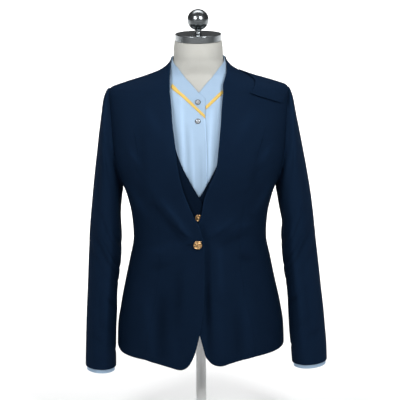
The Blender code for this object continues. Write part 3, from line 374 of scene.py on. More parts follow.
# Soft vertical folds of the blouse in the opening, as the ridges are given; the blouse's painted
# shade follows them, darker in their troughs and paler on their ridges
BLOUSE_FOLDS = (
    (-38, 320, -32, 130, 4.5, 1.3, -1),
    (-26, 262, -20, 90, 3.5, -0.9, -1),
    (-15, 250, -10, 80, 3.5, 1.1, -1),
    (27, 290, 18, 120, 4.0, 1.3, -1),
    (40, 300, 29, 150, 4.0, -1.3, -1),
    (-56, 300, -38, 150, 6.0, -1.5, -1),
    (3, 215, 4, 80, 3.5, -0.7, -1),
    (17, 262, 16, 70, 3.0, -1.1, -1),
)

# Long low waves of the jacket's cloth: radians per millimetre across and up, start, height, and
# radians per millimetre of depth for all of them
WAVES = (
    (0.061, 0.023, 0.4, 0.22),
    (-0.034, 0.049, 1.9, 0.20),
    (0.104, -0.031, 3.1, 0.12),
    (0.019, 0.087, 4.4, 0.12),
)
WAVES_IN_DEPTH = 0.011

# Loose flap on the left shoulder: its free lower edge, and the heights of its ends on the seam
FLAP_EDGE = ((108.6, 319), (136, 309), (174, 294.5))
FLAP_SEAM = (360.5, 331)
FLAP_ROWS = 6
FLAP_COLUMNS = 8
FLAP_CLOTH = 1.5
FLAP_RISE = 3.6
# How much more the free edge stands off, the share of that at the inner side, the edge's waves
# and the fall to the seam
FLAP_EDGE_RISE = 1.9
FLAP_SIDE_SHARE = 0.25
FLAP_WAVE = 0.5
FLAP_SEAM_FALL = 1.2
# Reach of the rise from the lower edge and from the inner side, of the waves and of the fall
FLAP_LOW_REACH = 10
FLAP_SIDE_REACH = 8
FLAP_WAVE_REACH = 12
FLAP_SEAM_REACH = 6
# Distances over which they fade in: from the seam above, and from the end at the armhole
FLAP_LOW_FADE = (0, 14)
FLAP_SIDE_FADE = (0, 18)
FLAP_END_FADE = (0, 22)
FLAP_WAVE_FADE = (0, 20)
FLAP_WAVE_LENGTH = 12.0
# The row of stitches inside the free edges, and the groove that it pulls
FLAP_STITCH = 6.0
FLAP_GROOVE = 0.5
FLAP_GROOVE_WIDTH = 0.9

# The fronts stand off beside the neckline: rise, reach from the middle, fading, and the heights
# where the rise comes and goes.  They ride over the waistcoat's button.
NECKLINE_RISE = 1.5
NECKLINE_REACH = 30
NECKLINE_FADE = 24
NECKLINE_START = (-10, 40)
NECKLINE_END = (210, 330)
OVER_BUTTON_RISE = 3.0
OVER_BUTTON_FALL = 8
# The lap of the fronts: rise of the upper layer, give of the lower ones, and where each fades
LAP_RISE = 2.7
LAP_ACROSS = (28, 70)
LAP_UP = (60, 110)
UNDER_LAP_ACROSS = (26, 52)
VEST_UNDER_LAP = 2.6
VEST_LAP_UP = (110, 150)
BLOUSE_UNDER_LAP = 2.2
BLOUSE_LAP_UP = (90, 170)
FORM_UNDER_LAP = 5.0
FORM_LAP_UP = (300, 352)
# Cups of the bust: x, height, half width, half height, rise
CUPS = ((-80, 158, 44, 46, 4.0), (80, 158, 44, 46, 4.0))

# Waistcoat: heights, shoulder seam (inner and outer end), front edge and neckline as x and
# height, armhole as turn and height
VEST_HEM = -118.0
VEST_UNDERARM = 92.0
VEST_SHOULDER = (367.0, 344.0)
VEST_NECK_BACK = 372.0
VEST_EDGE = ((12, -118), (12, 40), (10, 78), (0.7, 100))
VEST_NECKLINE = ((0.7, 100), (-16.9, 132), (-33.4, 165), (-49.5, 207), (-60, 257), (-68, 310))
VEST_ARMHOLE = ((90, 92), (72, 118), (58, 165), (50, 220), (48, 275), (54, 318))
# Blouse: heights, x of the front edges, neck seams and upper collar edges as x and height
BLOUSE_HEM = -172.0
BLOUSE_NECK_SIDE = 372.0
BLOUSE_NECK_BACK = 380.0
PLACKET_EDGE = 13.5
UNDER_EDGE = -12.0
RIGHT_NECK_SEAM = ((13.5, 277.5), (-5, 294), (-30, 316), (-60, 342))
LEFT_NECK_SEAM = ((-12, 273), (15, 296), (34, 312), (53, 328))
RIGHT_COLLAR_TOP = ((14, 315), (0, 327), (-29, 355), (-50, 376))
LEFT_COLLAR_TOP = ((-12, 317), (0, 327), (29, 355), (51, 376))
COLLAR_SIDE = 388.0
COLLAR_BACK = 394.0
# Collar: relief of its painted shade, which makes it evenly darker, how far its two faces stand off
# the blouse's, and the dip and width of its seam
COLLAR_PAINTED_SHADE = -0.5
COLLAR_RISE = 0.25
COLLAR_INSIDE = 0.15
COLLAR_SEAM_DIP = 0.5
COLLAR_SEAM_WIDTH = 1.6
# Piping: half its width, its gap to the blouse, the height of its edges and of its crown
PIPING_HALF = 3.7
PIPING_GAP = 0.35
PIPING_EDGE = 0.55
PIPING_CROWN = 0.55
# Buttons: x and height
JACKET_BUTTON = (-4.7, 0.0)
VEST_BUTTON = (-2.5, 58.0)
JACKET_BUTTON_RADIUS = 9.35
VEST_BUTTON_RADIUS = 7.5
# Gold buttons as shares of their radius: profile as radius and height, and the rings of beads as
# count, reach, size and height
GOLD_PROFILE = (
    (0, 0.40), (0.10, 0.41), (0.30, 0.405), (0.48, 0.385), (0.58, 0.355), (0.64, 0.315),
    (0.70, 0.300), (0.78, 0.305), (0.82, 0.345), (0.87, 0.372), (0.93, 0.365), (0.98, 0.315),
    (1.0, 0.24), (0.985, 0.15), (0.94, 0.07), (0.88, 0.0), (0, 0),
)
GOLD_BEADS = ((24, 0.74, 0.064, 0.31), (8, 0.38, 0.13, 0.395), (1, 0, 0.17, 0.40))
# Crystal buttons: the setting as share of the radius and height, and the rings of the stone as
# radius, height and swing in steps
CRYSTAL_RADIUS = 6.0
CRYSTAL_SETTING = ((0, 0.5), (0.86, 0.5), (0.93, 1.25), (1, 0.9), (0.98, 0.3), (0.9, 0), (0, 0))
CRYSTAL_FACETS = 10
CRYSTAL_TOP = 3.35
CRYSTAL_RINGS = ((2.6, 3.3, 0), (4.1, 2.5, 0.5), (5.05, 1.2, 0), (5.0, 0.55, 0))

# The form is full to its cover; height of its underside, and of the rings of its torso
FORM_BOTTOM = -160.0
FORM_RINGS = (*range(-150, 300, 15), *range(300, 389, 4))
# Share of the lowest ring's width and depth that the form's underside keeps
FORM_UNDER = (0.80, 0.76)
# The form's neck: height of its first ring and number of its rings, then height, half width,
# front depth, back depth
NECK_START = 393.0
NECK_RINGS = 14
NECK = (
    (388, 52.8, 47.9, 47.9),
    (391, 52.9, 49.3, 49.3),
    (408, 52.6, 50.6, 50.6),
    (424.7, 51.0, 50.2, 50.2),
)

# Buttonhole: distance from the button's middle, length, pitch of the bars, their two ends, the
# width of the thread, and how far past the hole its last bar lies
BUTTONHOLE_START = 9.7
BUTTONHOLE_LENGTH = 12.0
BUTTONHOLE_PITCH = 0.62
BUTTONHOLE_INSIDE = 0.25
BUTTONHOLE_HALF = 1.5
BUTTONHOLE_THREAD = 0.55
BUTTONHOLE_PAST = 0.4
# Rings of a thread bar: share of its length, thickness and rise as shares of its width
THREAD_RINGS = ((0.0, 0.4, -0.3), (0.25, 1.0, 0.25), (0.75, 1.0, 0.25), (1.0, 0.4, -0.3))
STITCH_INSET = 2.2
# Pitch, length and width of the stitches along the front edges
EDGE_STITCH = (4.2, 1.2, 0.25)
PLACKET_STITCH = 30.0

# Depth of the soft groove along a seam and its half width
SEAM_DIP = 0.16
SEAM_WIDTH = 1.0
# How much a free edge is rounded: its outer face falls, its rim stands out (share of the wall)
EDGE_ROUND = 0.6
EDGE_ROUND_WIDTH = 0.8
EDGE_SWELL = 0.3
# Share of the wall that stays where its outer face falls, on panels and on sleeves
LEAST_WALL = 0.5
LEAST_SLEEVE_WALL = 0.6
# Painted highlight: a pale line painted along the front edges, where light catches them: rise of the
# relief and its width
EDGE_PAINTED_HIGHLIGHT = 3.4
EDGE_PAINTED_HIGHLIGHT_WIDTH = 2.0
# Distances from an edge where the fine grid gets a row of its own.  Where the grid is narrow
# they keep to once, twice and three times this share of the way to its next row.
EDGE_ROWS = (0.5, 1.2, 2.4)
EDGE_ROW_SHARE = 0.22
# Edges of turned pieces that are sharper than this stay crisp
SHARP = math.radians(50)
# Height of the small beads as a share of their radius
BEAD_FLATNESS = 0.6


def monotone_slopes(xs, ys):
    """Slopes of a curve through a column that never swings past its own points."""
    steps = np.diff(ys) / np.diff(xs)
    slopes = np.zeros(len(xs))
    slopes[0] = steps[0]
    slopes[-1] = steps[-1]
    for i in range(1, len(xs) - 1):
        if steps[i - 1] * steps[i] > 0:
            slopes[i] = 2 * steps[i - 1] * steps[i] / (steps[i - 1] + steps[i])
    return slopes


class Table:
    """Columns of a section table, read at any heights between its rows."""

    def __init__(self, rows):
        data = np.array(rows, float)
        self.keys = data[:, 0]
        self.columns = data[:, 1:]
        self.slopes = np.array([monotone_slopes(self.keys, c) for c in self.columns.T]).T

    def read(self, keys):
        keys = np.clip(keys, self.keys[0], self.keys[-1])
        i = np.clip(np.searchsorted(self.keys, keys, side="right") - 1, 0, len(self.keys) - 2)
        span = self.keys[i + 1] - self.keys[i]
        t = ((keys - self.keys[i]) / span)[..., None]
        span = span[..., None]
        values = (
            (2 * t**3 - 3 * t**2 + 1) * self.columns[i]
            + (t**3 - 2 * t**2 + t) * span * self.slopes[i]
            + (3 * t**2 - 2 * t**3) * self.columns[i + 1]
            + (t**3 - t**2) * span * self.slopes[i + 1]
        )
        return np.moveaxis(values, -1, 0)


body_table = Table(BODY)
layer_table = Table(LAYERS)


def named(stem, side):
    return stem + ("left" if side > 0 else "right")


def smooth_step(low, high, value):
    t = np.clip((value - low) / (high - low), 0.0, 1.0)
    return t * t * (3 - 2 * t)


def fading(span, value):
    """1 below a span of values and 0 above it."""
    return 1 - smooth_step(*span, value)


def bell(distance, width):
    return np.exp(-((distance / width) ** 2))


def section(points):
    """Half width, depth and squareness of the body at each point."""
    half, front, back, power = body_table.read(points[..., 2])
    return half, np.where(points[..., 1] < 0, front, back), power


def ring_value(points):
    half, depth, power = section(points)
    return np.abs(points[..., 0] / half) ** power + np.abs(points[..., 1] / depth) ** power


def on_body(points):
    """Points moved level, to or from the body's axis, onto the jacket's outer face."""
    points = np.asarray(points, float)
    grow = ring_value(points) ** (-1 / section(points)[2])
    return np.stack((points[..., 0] * grow, points[..., 1] * grow, points[..., 2]), -1)


def outward(points):
    """Unit normals of the jacket's outer face."""
    half, depth, power = section(points)
    tiny = np.array((0, 0, 0.05))
    rise = (ring_value(points + tiny) - ring_value(points - tiny)) / (2 * tiny[2])
    x, y = points[..., 0], points[..., 1]
    across = power * np.abs(x / half) ** (power - 1) / half * np.sign(x)
    along = power * np.abs(y / depth) ** (power - 1) / depth * np.sign(y)
    normals = np.stack((across, along, rise), -1)
    return normals / np.linalg.norm(normals, axis=-1, keepdims=True)


def seen_from(x, height, side):
    """Points of the jacket's outer face at x and a height: side -1 is the front, 1 the back."""
    x, height = np.broadcast_arrays(np.asarray(x, float), np.asarray(height, float))
    half, front, back, power = body_table.read(height)
    depth = front if side < 0 else back
    share = np.minimum(np.abs(x / half), 1.0)
    return np.stack((x, side * depth * (1 - share**power) ** (1 / power), height), -1)


def at_turn(turn, height):
    """Points at a turn round the body: 0 is the front, 90 the wearer's left, 180 the back."""
    turn, height = np.broadcast_arrays(np.asarray(turn, float), np.asarray(height, float))
    half, front, back, power = body_table.read(height)
    sine = np.sin(np.radians(turn))
    cosine = np.cos(np.radians(turn))
    depth = np.where(cosine > 0, front, back)
    x = half * np.sign(sine) * np.abs(sine) ** (2 / power)
    y = -depth * np.sign(cosine) * np.abs(cosine) ** (2 / power)
    return np.stack((x, y, height), -1)


def turn_of(points):
    """Turns of body points, the inverse of at_turn."""
    half, depth, power = section(points)
    x, y = points[..., 0], points[..., 1]
    sine = np.sign(x) * np.abs(x / half) ** (power / 2)
    cosine = -np.sign(y) * np.abs(y / depth) ** (power / 2)
    return np.degrees(np.arctan2(sine, cosine))


def armhole(step, side, inset=0.0):
    """Points of the armhole; step 0 is the shoulder tip, a quarter forward is the front."""
    angle = 2 * math.pi * np.asarray(step, float) / ARM_STEPS
    height = ARMHOLE_MIDDLE + (ARMHOLE_HALF - inset) * np.cos(angle)
    swing = (ARMHOLE_SWING - inset * SWING_LOSS) * np.sin(angle)
    return at_turn(side * (90 - swing), height)


def smooth_rows(rows, steps):
    """Points or rows of points with smooth ones between them, through the given ones."""
    ends = np.concatenate((rows[:1], rows, rows[-1:]))
    result = []
    for before, a, b, after in zip(ends, ends[1:], ends[2:], ends[3:]):
        for k in range(steps):
            t = k / steps
            result.append(0.5 * (
                2 * a + (b - before) * t + (2 * before - 5 * a + 4 * b - after) * t**2
                + (3 * a - before - 3 * b + after) * t**3
            ))
    return np.array(result + [rows[-1]])


def curve(points):
    """Smooth line through points, laid on the body and read by its share of length."""
    dense = smooth_rows(np.array([np.asarray(p, float) for p in points]), CURVE_STEPS)
    lengths = np.concatenate(([0], np.cumsum(np.linalg.norm(np.diff(dense, axis=0), axis=1))))

    def at(shares):
        wanted = np.asarray(shares) * lengths[-1]
        return on_body(np.stack([np.interp(wanted, lengths, dense[:, k]) for k in range(3)], -1))

    return at


def front_curve(pairs, side=-1):
    return curve([seen_from(x, h, side) for x, h in pairs])


def turn_curve(pairs):
    return curve([at_turn(t, h) for t, h in pairs])


def armhole_curve(first, last, side, inset=0.0):
    return lambda shares: armhole(first + (last - first) * np.asarray(shares), side, inset)


def line(at, plain, halved=0):
    """Points on a curve: so many steps of the pattern, then steps that are cut in two."""
    total = plain + halved
    first = np.arange(plain * FINE) / (FINE * total)
    last = (plain + np.arange(halved * 2 * FINE + 1) / (2 * FINE)) / total
    return at(np.concatenate((first, last)))


def joined(*lines):
    return np.concatenate([lines[0]] + [points[1:] for points in lines[1:]])


def blend_edges(bottom, top, left, right):
    """Grid of points between four edges, as rows from the bottom edge to the top."""
    v = np.linspace(0, 1, len(left))[:, None, None]
    u = np.linspace(0, 1, len(bottom))[None, :, None]
    across = (1 - u) * left[:, None] + u * right[:, None]
    along = (1 - v) * bottom[None] + v * top[None]
    corners = (1 - v) * ((1 - u) * left[0] + u * right[0]) + v * ((1 - u) * left[-1] + u * right[-1])
    return across + along - corners


def patch(bottom, top, left, right):
    return on_body(blend_edges(bottom, top, left, right))


def side_patch(bottom, top, left, right):
    """Patch round the body's side, spaced evenly in turn instead of in space."""
    def flat(points):
        return np.stack((turn_of(points), points[:, 2], np.zeros(len(points))), -1)

    grid = blend_edges(flat(bottom), flat(top), flat(left), flat(right))
    return at_turn(grid[..., 0], grid[..., 1])


def with_edge_rows(grid, axis):
    """The grid with extra rows or columns close to both of its edges."""
    grid = np.moveaxis(grid, axis, 0)
    spaces = []
    for edge, inner in ((grid[0], grid[1]), (grid[-1], grid[-2])):
        length = np.linalg.norm(inner - edge, axis=-1, keepdims=True)
        rows = []
        for number, distance in enumerate(EDGE_ROWS):
            share = np.minimum(distance / np.maximum(length, 1e-6), EDGE_ROW_SHARE * (number + 1))
            rows.append(edge + (inner - edge) * share)
        spaces.append(rows)
    stack = [grid[:1], np.array(spaces[0]), grid[1:-1], np.array(spaces[1][::-1]), grid[-1:]]
    return np.moveaxis(np.concatenate(stack), 0, axis)


def edged(grid):
    """The grid on the body, with extra rows and columns at its edges."""
    return on_body(with_edge_rows(with_edge_rows(grid, 0), 1))


def edge_distances(grid):
    """Distance of each grid point from the bottom, top, left and right edges."""
    up = np.linalg.norm(np.diff(grid, axis=0), axis=-1)
    across = np.linalg.norm(np.diff(grid, axis=1), axis=-1)
    from_bottom = np.concatenate((np.zeros((1, grid.shape[1])), np.cumsum(up, axis=0)))
    from_left = np.concatenate((np.zeros((grid.shape[0], 1)), np.cumsum(across, axis=1)), axis=1)
    return (
        from_bottom, from_bottom[-1:] - from_bottom, from_left, from_left[:, -1:] - from_left,
    )


def line_distance(points, ends):
    """Distance from a line's run, and how near the middle of the run each point is."""
    ax, ah, bx, bh = ends
    dx, dh = bx - ax, bh - ah
    x, height = points[..., 0] - ax, points[..., 2] - ah
    t = np.clip((x * dx + height * dh) / (dx * dx + dh * dh), 0, 1)
    middle = np.sin(math.pi * (FOLD_END + (1 - 2 * FOLD_END) * t))
    return np.hypot(x - dx * t, height - dh * t), middle


def cup_rise(points):
    total = sum(
        rise * bell(points[..., 0] - x, wide) * bell(points[..., 2] - h, tall)
        for x, h, wide, tall, rise in CUPS
    )
    return np.where(points[..., 1] > 0, 0.0, total)


def fold_rise(points, rows):
    """Height of soft ridges, or depth of troughs, over the plain body."""
    total = np.zeros(points.shape[:-1])
    for ax, ah, bx, bh, width, rise, side in rows:
        gap, middle = line_distance(points, (ax, ah, bx, bh))
        total += np.where(side * points[..., 1] > 0, rise * middle * bell(gap, width), 0)
    return total


def edge_rise(points):
    """The fronts stand off the waistcoat beside the neckline, and ride over its button."""
    x, height = points[..., 0], points[..., 2]
    near = bell(np.maximum(np.abs(x) - NECKLINE_REACH, 0), NECKLINE_FADE)
    band = smooth_step(*NECKLINE_START, height) * fading(NECKLINE_END, height)
    over = bell(np.hypot(x - VEST_BUTTON[0], height - VEST_BUTTON[1] + OVER_BUTTON_FALL), NECKLINE_FADE)
    total = NECKLINE_RISE * near * band + OVER_BUTTON_RISE * over
    return np.where(points[..., 1] > 0, 0.0, total)


def jacket_lift(points):
    return cup_rise(points) + fold_rise(points, RIDGES) + edge_rise(points)


def cloth_waves(points):
    """Slight unevenness of worn cloth: a few long, low waves in different directions."""
    x, y, height = np.moveaxis(points, -1, 0)
    return sum(
        size * np.sin(x * across + height * up + y * WAVES_IN_DEPTH + start)
        for across, up, start, size in WAVES
    )


def left_front_lift(points):
    return jacket_lift(points) + FOLD_GAIN * fold_rise(points, FOLDS) + cloth_waves(points)


def right_front_lift(points):
    near = fading(LAP_ACROSS, np.abs(points[..., 0]))
    return left_front_lift(points) + LAP_RISE * near * fading(LAP_UP, points[..., 2])


def vest_lift(points):
    return cup_rise(points) - layer_table.read(points[..., 2])[0]


def under_lap(points):
    """Depth that an under layer gives way beneath the lap at the middle of the front."""
    return np.where(points[..., 1] > 0, 0.0, fading(UNDER_LAP_ACROSS, np.abs(points[..., 0])))


def left_vest_lift(points):
    return vest_lift(points) - VEST_UNDER_LAP * under_lap(points) * fading(VEST_LAP_UP, points[..., 2])


def right_blouse_lift(points):
    give = BLOUSE_UNDER_LAP * under_lap(points) * fading(BLOUSE_LAP_UP, points[..., 2])
    return cup_rise(points) - (layer_table.read(points[..., 2])[1] + give)


def left_blouse_lift(points):
    return right_blouse_lift(points) - BLOUSE_UNDER_LAP * under_lap(points)


def with_blouse_folds(lift):
    return lambda points: lift(points) + fold_rise(points, BLOUSE_FOLDS)


def form_lift(points):
    give = FORM_UNDER_LAP * under_lap(points) * fading(FORM_LAP_UP, points[..., 2])
    return cup_rise(points) - (layer_table.read(points[..., 2])[2] + give)


def lifted(points, rise):
    """World positions of body points moved out along the normals."""
    return points + outward(points) * np.asarray(rise)[..., None] + TO_FLOOR


def new_mesh(name, verts, faces, material, smooth=True):
    mesh = bpy.data.meshes.new(name)
    mesh.from_pydata((np.asarray(verts, float) * MM).tolist(), [], faces)
    mesh.update()
    if smooth:
        mesh.shade_smooth()
    mesh.materials.append(material)
    thing = bpy.data.objects.new(name, mesh)
    bpy.context.scene.collection.objects.link(thing)
    return thing


def seat(thing, slot, *nodes):
    """The piece rides on the one body and hides the solids that it stands for; its slot is not used."""
    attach(thing, "root")
    if nodes:
        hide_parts(*nodes)
    return thing


def flat_places(points, closed):
    """Place of each grid point on the flat cloth, in metres: across and along the grain."""
    ring = np.concatenate((points, points[:, :1]), axis=1) if closed else points
    along, _, across, _ = edge_distances(ring)
    flat = np.stack((across, along, np.zeros(along.shape)), -1) * MM
    return flat[:, :points.shape[1]]


def keep(thing, name, kind, field, values):
    """Values kept at the points of a mesh, for its finish."""
    attribute = thing.data.attributes.new(name, kind, "POINT")
    attribute.data.foreach_set(field, values.astype(np.float32).ravel())


def wall_faces(rows, columns, closed):
    """Quads of one side of a wall, as rows of point numbers."""
    across = columns if closed else columns - 1
    i, j = np.meshgrid(np.arange(rows - 1), np.arange(across), indexing="ij")
    k = (j + 1) % columns
    quads = np.stack((i * columns + j, i * columns + k, (i + 1) * columns + k, (i + 1) * columns + j), -1)
    return quads.reshape(-1, 4)


def boundary(rows, columns, closed):
    """Loops of edge points: for each its number, its inner neighbour's and its edge's letter."""
    last = (rows - 1) * columns
    if closed:
        bottom = [(j, columns + j, "b") for j in range(columns)]
        top = [(last + j, last - columns + j, "t") for j in range(columns)]
        return [bottom, top[::-1]]
    inside = [min(max(j, 1), columns - 2) for j in range(columns)]
    loop = [(j, columns + inside[j], "b") for j in range(columns - 1)]
    loop += [
        ((i + 1) * columns - 1, max(i, 1) * columns + columns - 2, "r") for i in range(rows - 1)
    ]
    loop += [(last + j, last - columns + inside[j], "t") for j in range(columns - 1, 0, -1)]
    loop += [(i * columns, min(i, rows - 2) * columns + 1, "l") for i in range(rows - 1, 0, -1)]
    return [loop]


def cloth_wall(name, outer, inner, material, closed=False, swell="", relief=None):
    """A wall between two grids of the same shape; the free edges in swell are rounded.

    The relief, the height of the folds in millimetres with painted highlights and shades added, is
    kept for the painted shade of the cloth's finish.
    """
    rows, columns = outer.shape[:2]
    count = rows * columns
    flat = flat_places(outer, closed).reshape(-1, 3)
    outside = outer.reshape(-1, 3)
    inside = inner.reshape(-1, 3)
    quads = wall_faces(rows, columns, closed)
    faces = [quads, quads[:, ::-1] + count]
    middles = []
    places = []
    heights = np.zeros(count) if relief is None else relief.ravel()
    edge_heights = []
    for loop in boundary(rows, columns, closed):
        edge = np.array([entry[0] for entry in loop])
        inward = np.array([entry[1] for entry in loop])
        free = np.array([[EDGE_SWELL if entry[2] in swell else 0.0] for entry in loop])
        away = outside[edge] - outside[inward]
        away /= np.maximum(np.linalg.norm(away, axis=1, keepdims=True), 1e-6)
        thick = np.linalg.norm(outside[edge] - inside[edge], axis=1, keepdims=True)
        middle = (outside[edge] + inside[edge]) / 2 + away * thick * free
        first = 2 * count + sum(len(m) for m in middles)
        ahead = np.roll(np.arange(len(edge)), -1)
        centre = first + np.arange(len(edge))
        faces.append(np.stack((edge[ahead], edge, centre, centre[ahead]), -1))
        faces.append(np.stack((centre[ahead], centre, count + edge, count + edge[ahead]), -1))
        middles.append(middle)
        places.append(flat[edge])
        edge_heights.append(heights[edge])
    verts = np.concatenate([outside, inside] + middles)
    thing = new_mesh(name, verts, np.concatenate(faces).tolist(), material)
    keep(thing, "flat", "FLOAT_VECTOR", "vector", np.concatenate([flat, flat] + places))
    keep(thing, "relief", "FLOAT", "value", np.concatenate([heights, heights] + edge_heights))
    return thing


def seam_dips(grid, free):
    """Fall of the outer face along the edges that are seams, and its rounding at free edges."""
    total = np.zeros(grid.shape[:2])
    for letter, distance in zip("btlr", edge_distances(grid)):
        if letter in free:
            total = np.maximum(total, EDGE_ROUND * bell(distance, EDGE_ROUND_WIDTH))
        else:
            total = np.maximum(total, SEAM_DIP * bell(distance, SEAM_WIDTH))
    return total


def drawn_in(grid):
    """Grid drawn in at its edges so that pieces meet at a seam without touching."""
    grid = grid.copy()
    for axis in (0, 1):
        view = np.moveaxis(grid, axis, 0)
        for edge, inner in ((0, 2), (-1, -3)):
            away = view[inner] - view[edge]
            along = np.gradient(view[edge], axis=0)
            along /= np.maximum(np.linalg.norm(along, axis=-1, keepdims=True), 1e-9)
            away -= along * np.sum(away * along, axis=-1, keepdims=True)
            view[edge] += away / np.maximum(np.linalg.norm(away, axis=-1, keepdims=True), 1e-9) * SEAM
    return grid


# The relief that the jacket's painted shade follows: darker in troughs, paler on ridges
def jacket_relief(grid):
    return FOLD_GAIN * fold_rise(grid, FOLDS) + MAIN_FOLD_PAINTED_SHADE * fold_rise(grid, RIDGES)


# The relief that the blouse's painted shade follows
def blouse_relief(grid):
    return fold_rise(grid, BLOUSE_FOLDS)


def no_relief(grid):
    return np.zeros(grid.shape[:2])


# A cloth: thickness of its wall, its slot and finish, and the relief of its folds over a grid, which
# its painted shade follows
Cloth = namedtuple("Cloth", "wall slot material relief")


def sew(node, grid, lift, cloth, free):
    """Cloth piece on a grid of body points: its outer face is at the lift, its wall inside.

    The letters in free name the edges that are hems or openings: b, t, l, r.
    """
    grid = edged(drawn_in(grid))
    rise = lift(grid) - seam_dips(grid, free)
    inner = lifted(grid, np.minimum(lift(grid) - cloth.wall, rise - LEAST_WALL * cloth.wall))
    # Painted highlight: a pale line along the front edge, added to the relief that the painted shade follows
    painted_highlight = EDGE_PAINTED_HIGHLIGHT * bell(edge_distances(grid)[2], EDGE_PAINTED_HIGHLIGHT_WIDTH) if "l" in free else 0.0
    relief = cloth.relief(grid) + painted_highlight
    thing = cloth_wall(node + "_cloth", lifted(grid, rise), inner, cloth.material, swell=free, relief=relief)
    return seat(thing, cloth.slot, node), grid, rise


def jacket_front(side, edge, neckline, hem, cloth):
    """Front between the opening, the shoulder seam, the armhole and the princess seam."""
    princess = front_princess(side, hem[-1])
    neck = curve([seen_from(x, h, -1) for x, h in neckline] + [at_turn(side * 90, NECK_SIDE)])
    left = joined(line(front_curve(edge), 9), line(neck, 8, 2))
    right = joined(princess, line(armhole_curve(PRINCESS_STEP, 0, side), 4, 2))
    bottom = line(front_curve(hem), SHOULDER_STEPS)
    grid = patch(bottom, jacket_shoulder(side), left, right)
    lift = left_front_lift if side > 0 else right_front_lift
    return sew(named("jacket_front_", side), grid, lift, cloth, "bl")


def front_princess(side, hem):
    points = [seen_from(*hem, -1)] + [seen_from(side * x, h, -1) for x, h in FRONT_PRINCESS]
    return line(curve(points + [armhole(PRINCESS_STEP, side)]), 13)


def back_princess(side):
    pairs = [(side * 110, BACK_HEM)] + [(side * x, h) for x, h in BACK_PRINCESS]
    points = [seen_from(x, h, 1) for x, h in pairs] + [armhole(ARM_STEPS - PRINCESS_STEP, side)]
    return line(curve(points), 13)


def shoulder_seam(side, inner_height, outer_height, steps):
    heights = inner_height + (outer_height - inner_height) * np.arange(9) / 8
    return line(curve([at_turn(side * 90, h) for h in heights]), steps)


def jacket_shoulder(side):
    return shoulder_seam(side, NECK_SIDE, ARMHOLE_MIDDLE + ARMHOLE_HALF, SHOULDER_STEPS)


def jacket_side(side, hem, cloth):
    front = front_princess(side, hem[-1])
    back = back_princess(side)
    top = line(armhole_curve(PRINCESS_STEP, ARM_STEPS - PRINCESS_STEP, side), 8)
    turn, rise = SIDE_HEM_BEND
    bend = at_turn(side * turn, hem[-1][1] + rise)
    corners = [front[0], bend, at_turn(side * 90, SIDE_HEM), back[0]]
    grid = side_patch(line(curve(corners), 8), top, front, back)
    return sew(named("jacket_side_", side), grid, left_front_lift, cloth, "b")


def jacket_back(side, cloth):
    arc = armhole_curve(ARM_STEPS - PRINCESS_STEP, ARM_STEPS, side)
    right = joined(back_princess(side), line(arc, 4, 2))
    heights = BACK_HEM + (NECK_BACK - BACK_HEM) * np.arange(13) / 12
    left = line(curve([seen_from(0, h, 1) for h in heights]), 17, 2)
    pairs = [(side * 180, NECK_BACK), (side * BACK_NECK_TURN, NECK_BACK), (side * 90, NECK_SIDE)]
    neck = line(turn_curve(pairs), 4)
    hem = [(0, BACK_HEM), (side * 60, BACK_HEM), (side * 110, BACK_HEM)]
    bottom = line(front_curve(hem, side=1), 4 + SHOULDER_STEPS)
    grid = patch(bottom, joined(neck, jacket_shoulder(side)), left, right)
    return sew(named("jacket_back_", side), grid, left_front_lift, cloth, "b")


def shoulder_flap(cloth):
    """Loose flap from the shoulder seam over the wearer's left front, with a free lower edge."""
    low = line(front_curve(FLAP_EDGE), FLAP_COLUMNS)
    high = shoulder_seam(1, *FLAP_SEAM, FLAP_COLUMNS)
    share = (np.arange(FLAP_ROWS * FINE + 1) / (FLAP_ROWS * FINE))[:, None, None]
    flap = edged(on_body(low * (1 - share) + high * share))
    bottom, top, left, right = edge_distances(flap)
    low = bell(bottom, FLAP_LOW_REACH) * smooth_step(*FLAP_LOW_FADE, top)
    side = FLAP_SIDE_SHARE * bell(left, FLAP_SIDE_REACH) * smooth_step(*FLAP_SIDE_FADE, top)
    free = low * smooth_step(*FLAP_END_FADE, right) + side
    wave = FLAP_WAVE * np.sin(left / FLAP_WAVE_LENGTH) * bell(bottom, FLAP_WAVE_REACH)
    wave = wave * smooth_step(*FLAP_WAVE_FADE, right)
    rise = jacket_lift(flap) + FLAP_RISE + FLAP_EDGE_RISE * free + wave
    rise = rise - FLAP_SEAM_FALL * bell(top, FLAP_SEAM_REACH)
    for near, other in ((bottom, left), (left, bottom)):
        groove = bell(near - FLAP_STITCH, FLAP_GROOVE_WIDTH) * smooth_step(2, FLAP_STITCH, other)
        rise = rise - FLAP_GROOVE * groove
    inner = lifted(flap, rise - FLAP_CLOTH)
    thing = cloth_wall("shoulder_flap_cloth", lifted(flap, rise), inner, cloth.material, swell="bl")
    return seat(thing, cloth.slot, "jacket_shoulder_flap"), flap, rise


def turn_gap(turns, middle):
    return (turns - middle + 180) % 360 - 180


def crease_depth(turns, along, rows):
    total = 0.0
    for middle, place, half_turn, half_length, depth in rows:
        total = total + depth * bell(turn_gap(turns, middle), half_turn) * bell(along - place, half_length)
    return total


def sleeve_rings(ends):
    return [(*row, *shape) for row, shape in zip(ends, SLEEVE_SHAPE)]


def oval(ring, turns, draw_in):
    """Points of a sleeve ring, drawn in all round by a wall's depth."""
    outer_x, outer_h, inner_x, inner_h, stand_out, centre_y, depth, _ = ring
    length = math.hypot(outer_x - inner_x, outer_h - inner_h)
    half = (length / 2 - draw_in) / length
    reach = np.cos(turns)
    x = (outer_x + inner_x) / 2 + (outer_x - inner_x) * half * reach
    x = x + stand_out * np.sin(turns) ** 2
    height = (outer_h + inner_h) / 2 + (outer_h - inner_h) * half * reach
    return np.stack((x, centre_y - (depth - draw_in) * np.sin(turns), height), -1)


def around(count):
    return 2 * math.pi * np.arange(count) / count


